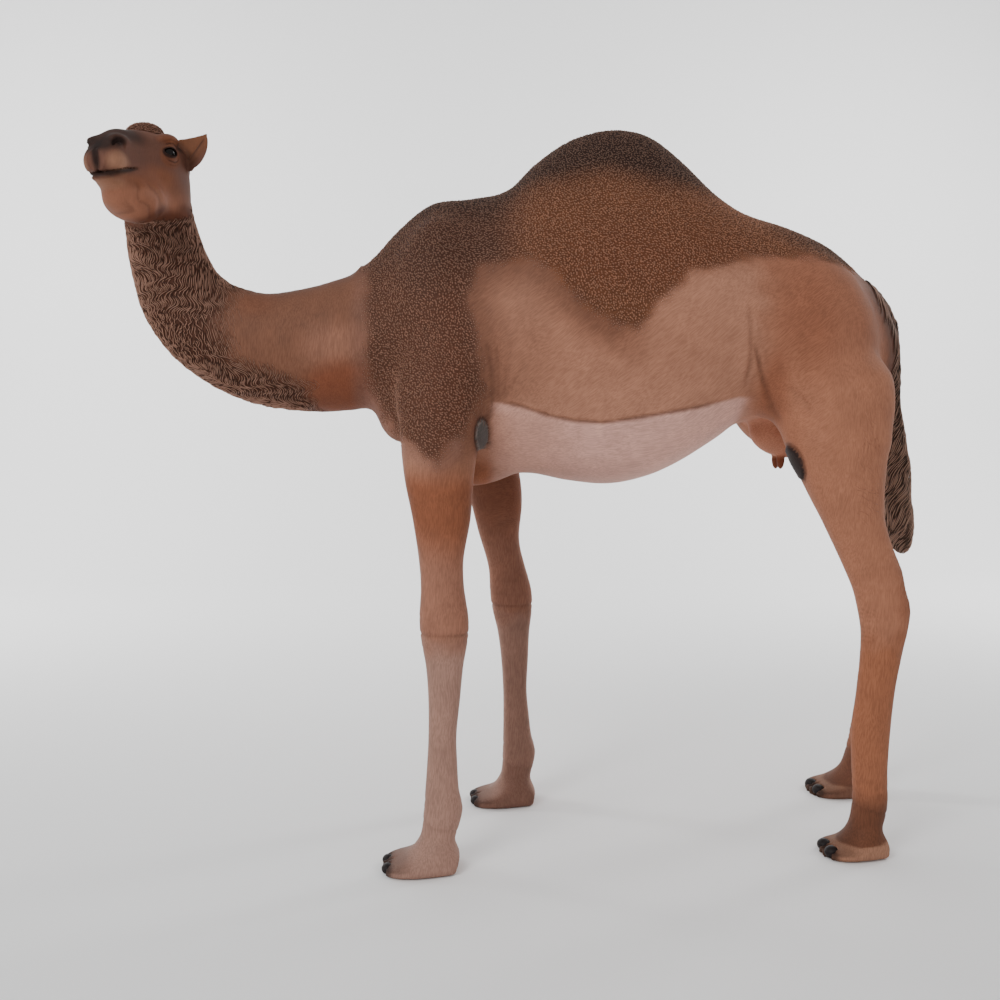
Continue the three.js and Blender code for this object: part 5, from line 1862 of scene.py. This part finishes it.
def grow_crown():
    """Covers the crown's dome with curls, in layers."""
    hx, hy, hz = to_head(*skin_points.T)
    dome = lump(hx, hy, hz, CROWN["at"], [size - CROWN_COAT for size in CROWN["size"]])
    share = ramp(3, -1, dome) * (hz > 18) * (skin_points[:, 0] < -760)
    share *= skin_points[:, 2] > 1700
    direction = HEAD_AXES[1] * 0.6 - HEAD_AXES[0] * 0.5  # to her left, and back
    for layer, above in enumerate(CROWN_LAYERS):
        roots = scatter(share, CROWN_SPACING, 61 + layer)
        roots = roots + unit_rows(downhill(roots)[1]) * above
        make_curls(f"crown_curls_{layer + 1}", roots, direction, np.full(len(roots), CROWN_CURL),
                   71 + layer, curl_material, spread=1.2)


grow_crown()

# %% [markdown]
# ## Small tufts
# Elsewhere the hair lies flat, and low tufts only break the form in a few places: the rear of
# the thighs, the elbows, the points of the hocks, the breast and the rump.

# %% Small tufts
TUFTS = [
    # name, centre (x, |y|, z), size of the patch, spacing, length, lie
    ("thigh_hair", (985, 250, 1085), (30, 90, 170), 13, 26, (0.5, 0, -0.85)),
    ("elbow_hair", (-72, 240, 1260), (26, 90, 60), 11, 20, (0.35, 0, -0.9)),
    ("hock_hair", (1112, 236, 730), (26, 60, 70), 11, 18, (0.3, 0, -0.95)),
    ("breast_hair", (-330, 60, 1240), (80, 60, 90), 14, 20, (0.3, 0, -0.9)),
    ("rump_hair", (1120, 40, 1600), (60, 60, 80), 12, 20, (0.5, 0, -0.85)),
]


def grow_tufts(name, at, size, spacing, length, direction):
    """One patch of tufts on each side, where no thicker coat grows."""
    x, y, z = skin_points.T
    if name in ("thigh_hair", "hock_hair"):
        x = on_left_leg(skin_points, "hind")
    reach = np.sqrt(((x - at[0]) / size[0]) ** 2 + ((np.abs(y) - at[1]) / size[1]) ** 2
                    + ((z - at[2]) / size[2]) ** 2)
    share = ramp(1.1, 0.6, reach) * (1 - skin_masks["curl"]) * (1 - skin_masks["wool"])
    roots = scatter(share, spacing, 80 + len(name))
    make_curls(name, roots, direction, np.full(len(roots), float(length)), 90 + len(name),
               hair_material, spread=0.2, girth=0.07)


for tuft in TUFTS:
    grow_tufts(*tuft)

# %% [markdown]
# ## Eyes and nails
# The eyes were cast apart, in dark gloss, and set into the lids. A smooth ball does that. The
# nails are blunt dark caps on the toes.

# %% Ball


def make_ball(name, centre, size, across=48, along=24):
    """A smooth closed ellipsoid, centre and size in the body's millimetres."""
    turn = np.linspace(0, 2 * np.pi, across, endpoint=False)
    rise = np.linspace(0, np.pi, along + 1)[1:-1]
    ring = np.stack([np.outer(np.sin(rise), np.cos(turn)), np.outer(np.sin(rise), np.sin(turn)),
                     np.repeat(np.cos(rise)[:, None], across, 1)], -1).reshape(-1, 3)
    points = np.concatenate([ring, [[0, 0, 1], [0, 0, -1]]]) * size + centre
    top, low = len(ring), len(ring) + 1
    faces = []
    for i in range(across):
        j = (i + 1) % across
        faces.append((top, i, j, j))
        for row in range(len(rise) - 1):
            a = row * across
            faces.append((a + i, a + across + i, a + across + j, a + j))
        a = (len(rise) - 1) * across
        faces.append((a + i, low, a + j, a + j))
    return make_mesh(name, points, faces)


# %% Eyes
EYE_PLAY = 0.3  # how much smaller than its solid the ball is
eyes = {side: make_ball("eye_" + side, from_head(np.array(EYE["at"]) * (1, sign, 1)),
                        np.full(3, EYE["radius"] - EYE_PLAY))
        for side, sign in (("left", 1), ("right", -1))}
eye_material, _, _ = make_material("eye_gloss", {
    "Base Color": (*srgb(16, 10, 8), 1), "Roughness": 0.05, "Specular IOR Level": 0.2})
for side, eye in eyes.items():
    eye.data.materials.append(eye_material)
    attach(eye, "root")
    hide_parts("eye_" + side)
print("eyes", [eye.name for eye in eyes.values()])

# %% Nails
nail_material, _, _ = make_material("nail_paint", {
    "Base Color": (*srgb(27, 20, 20), 1), "Roughness": 0.5, "Specular IOR Level": 0.2})
for kind, sizes in NAILS.items():
    at, *scales = FOOT_AT[kind]
    for side, sign, scale in (("left", -1, scales[0]), ("right", 1, scales[1])):
        for number, aside in ((1, -1), (2, 1)):
            across = sign * (FOOT_Y + aside * sizes["aside"] * scale)
            back = set_back[kind](np.array([0.0]))[0][0] if sign > 0 else 0
            centre = (at + sizes["ahead"] * scale + back, across, GROUND + sizes["height"])
            nail = make_ball(f"{kind}_{side}_nail_{number}", centre, sizes["size"], 24, 12)
            nail.data.materials.append(nail_material)
            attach(nail, "root")
            node = min((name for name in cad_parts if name.startswith(f"{kind}_{side}_nail")),
                       key=lambda name: abs(sum(box[1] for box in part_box(name)) / 2 - to_frame(centre)[1]))
            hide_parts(node)
            print(nail.name, "in place of", node)

# %% [markdown]
# ## What the skin stands for
# The solids of the head, neck, body, legs, tail and udder are one surface on the real cast, so
# the one skin replaces them all. Only the eyes and the nails were replaced one by one.

# %% Bind the skin to the solids
FLESH = [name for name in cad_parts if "nail" not in name and not name.startswith("eye")]
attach(skin, "root")
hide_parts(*FLESH)

# %% [markdown]
# ## Floor and light
# A white sweep that curves up behind her has no corner, so it gives an even ground. One large
# round lamp ahead of her and to her left is the key, two more light the sweep behind her, and
# a bright world fills the shadows. A sun would give harder edges than a painted satin cast asks.

# %% Floor
SWEEP = {"front": -9, "back": 5.5, "side": 14, "bend": 2.5, "rise": 9}  # metres


def make_sweep():
    """A studio floor that curves up behind into a wall."""
    line = [(SWEEP["front"], 0.0)]
    line += [(SWEEP["back"] + SWEEP["bend"] * math.sin(a), SWEEP["bend"] * (1 - math.cos(a)))
             for a in np.linspace(0, math.pi / 2, 24)]
    line.append((SWEEP["back"] + SWEEP["bend"], SWEEP["rise"]))
    points = [(side * SWEEP["side"], y, z) for side in (-1, 1) for y, z in line]
    count = len(line)
    faces = [(i, count + i, count + i + 1, i + 1) for i in range(count - 1)]
    mesh = bpy.data.meshes.new("floor")
    mesh.from_pydata(points, [], faces)
    mesh.shade_smooth()
    sweep = bpy.data.objects.new("floor", mesh)
    bpy.context.scene.collection.objects.link(sweep)
    return sweep


floor = make_sweep()
floor_material, _, _ = make_material("studio_floor", {"Base Color": (0.9, 0.9, 0.9, 1), "Roughness": 0.9})
floor.data.materials.append(floor_material)

# %% Lights
LIGHTS = [
    # name, place, what it points at, size, watts
    ("key", (-3.6, -4.2, 4.6), (0.2, 0, 1.2), 3.0, 190),
    ("wall_left", (-5, 2.6, 4.2), (-3, 8, 1.5), 3.0, 420),
    ("wall_right", (5.5, 2.6, 4.2), (3, 8, 1.5), 3.0, 420),
]
for name, place, target, size, watts in LIGHTS:
    lamp = bpy.data.lights.new(name, "AREA")
    lamp.shape = "DISK"
    lamp.size = size
    lamp.energy = watts
    light = bpy.data.objects.new(name, lamp)
    light.location = place
    light.rotation_euler = Vector(np.subtract(target, place)).to_track_quat("-Z", "Y").to_euler()
    bpy.context.scene.collection.objects.link(light)
    print(name, "light,", watts, "W")

world = bpy.data.worlds.new("studio")
world.use_nodes = True
background = world.node_tree.nodes["Background"]
background.inputs["Color"].default_value = (1, 1, 1, 1)
background.inputs["Strength"].default_value = 0.72
bpy.context.scene.world = world
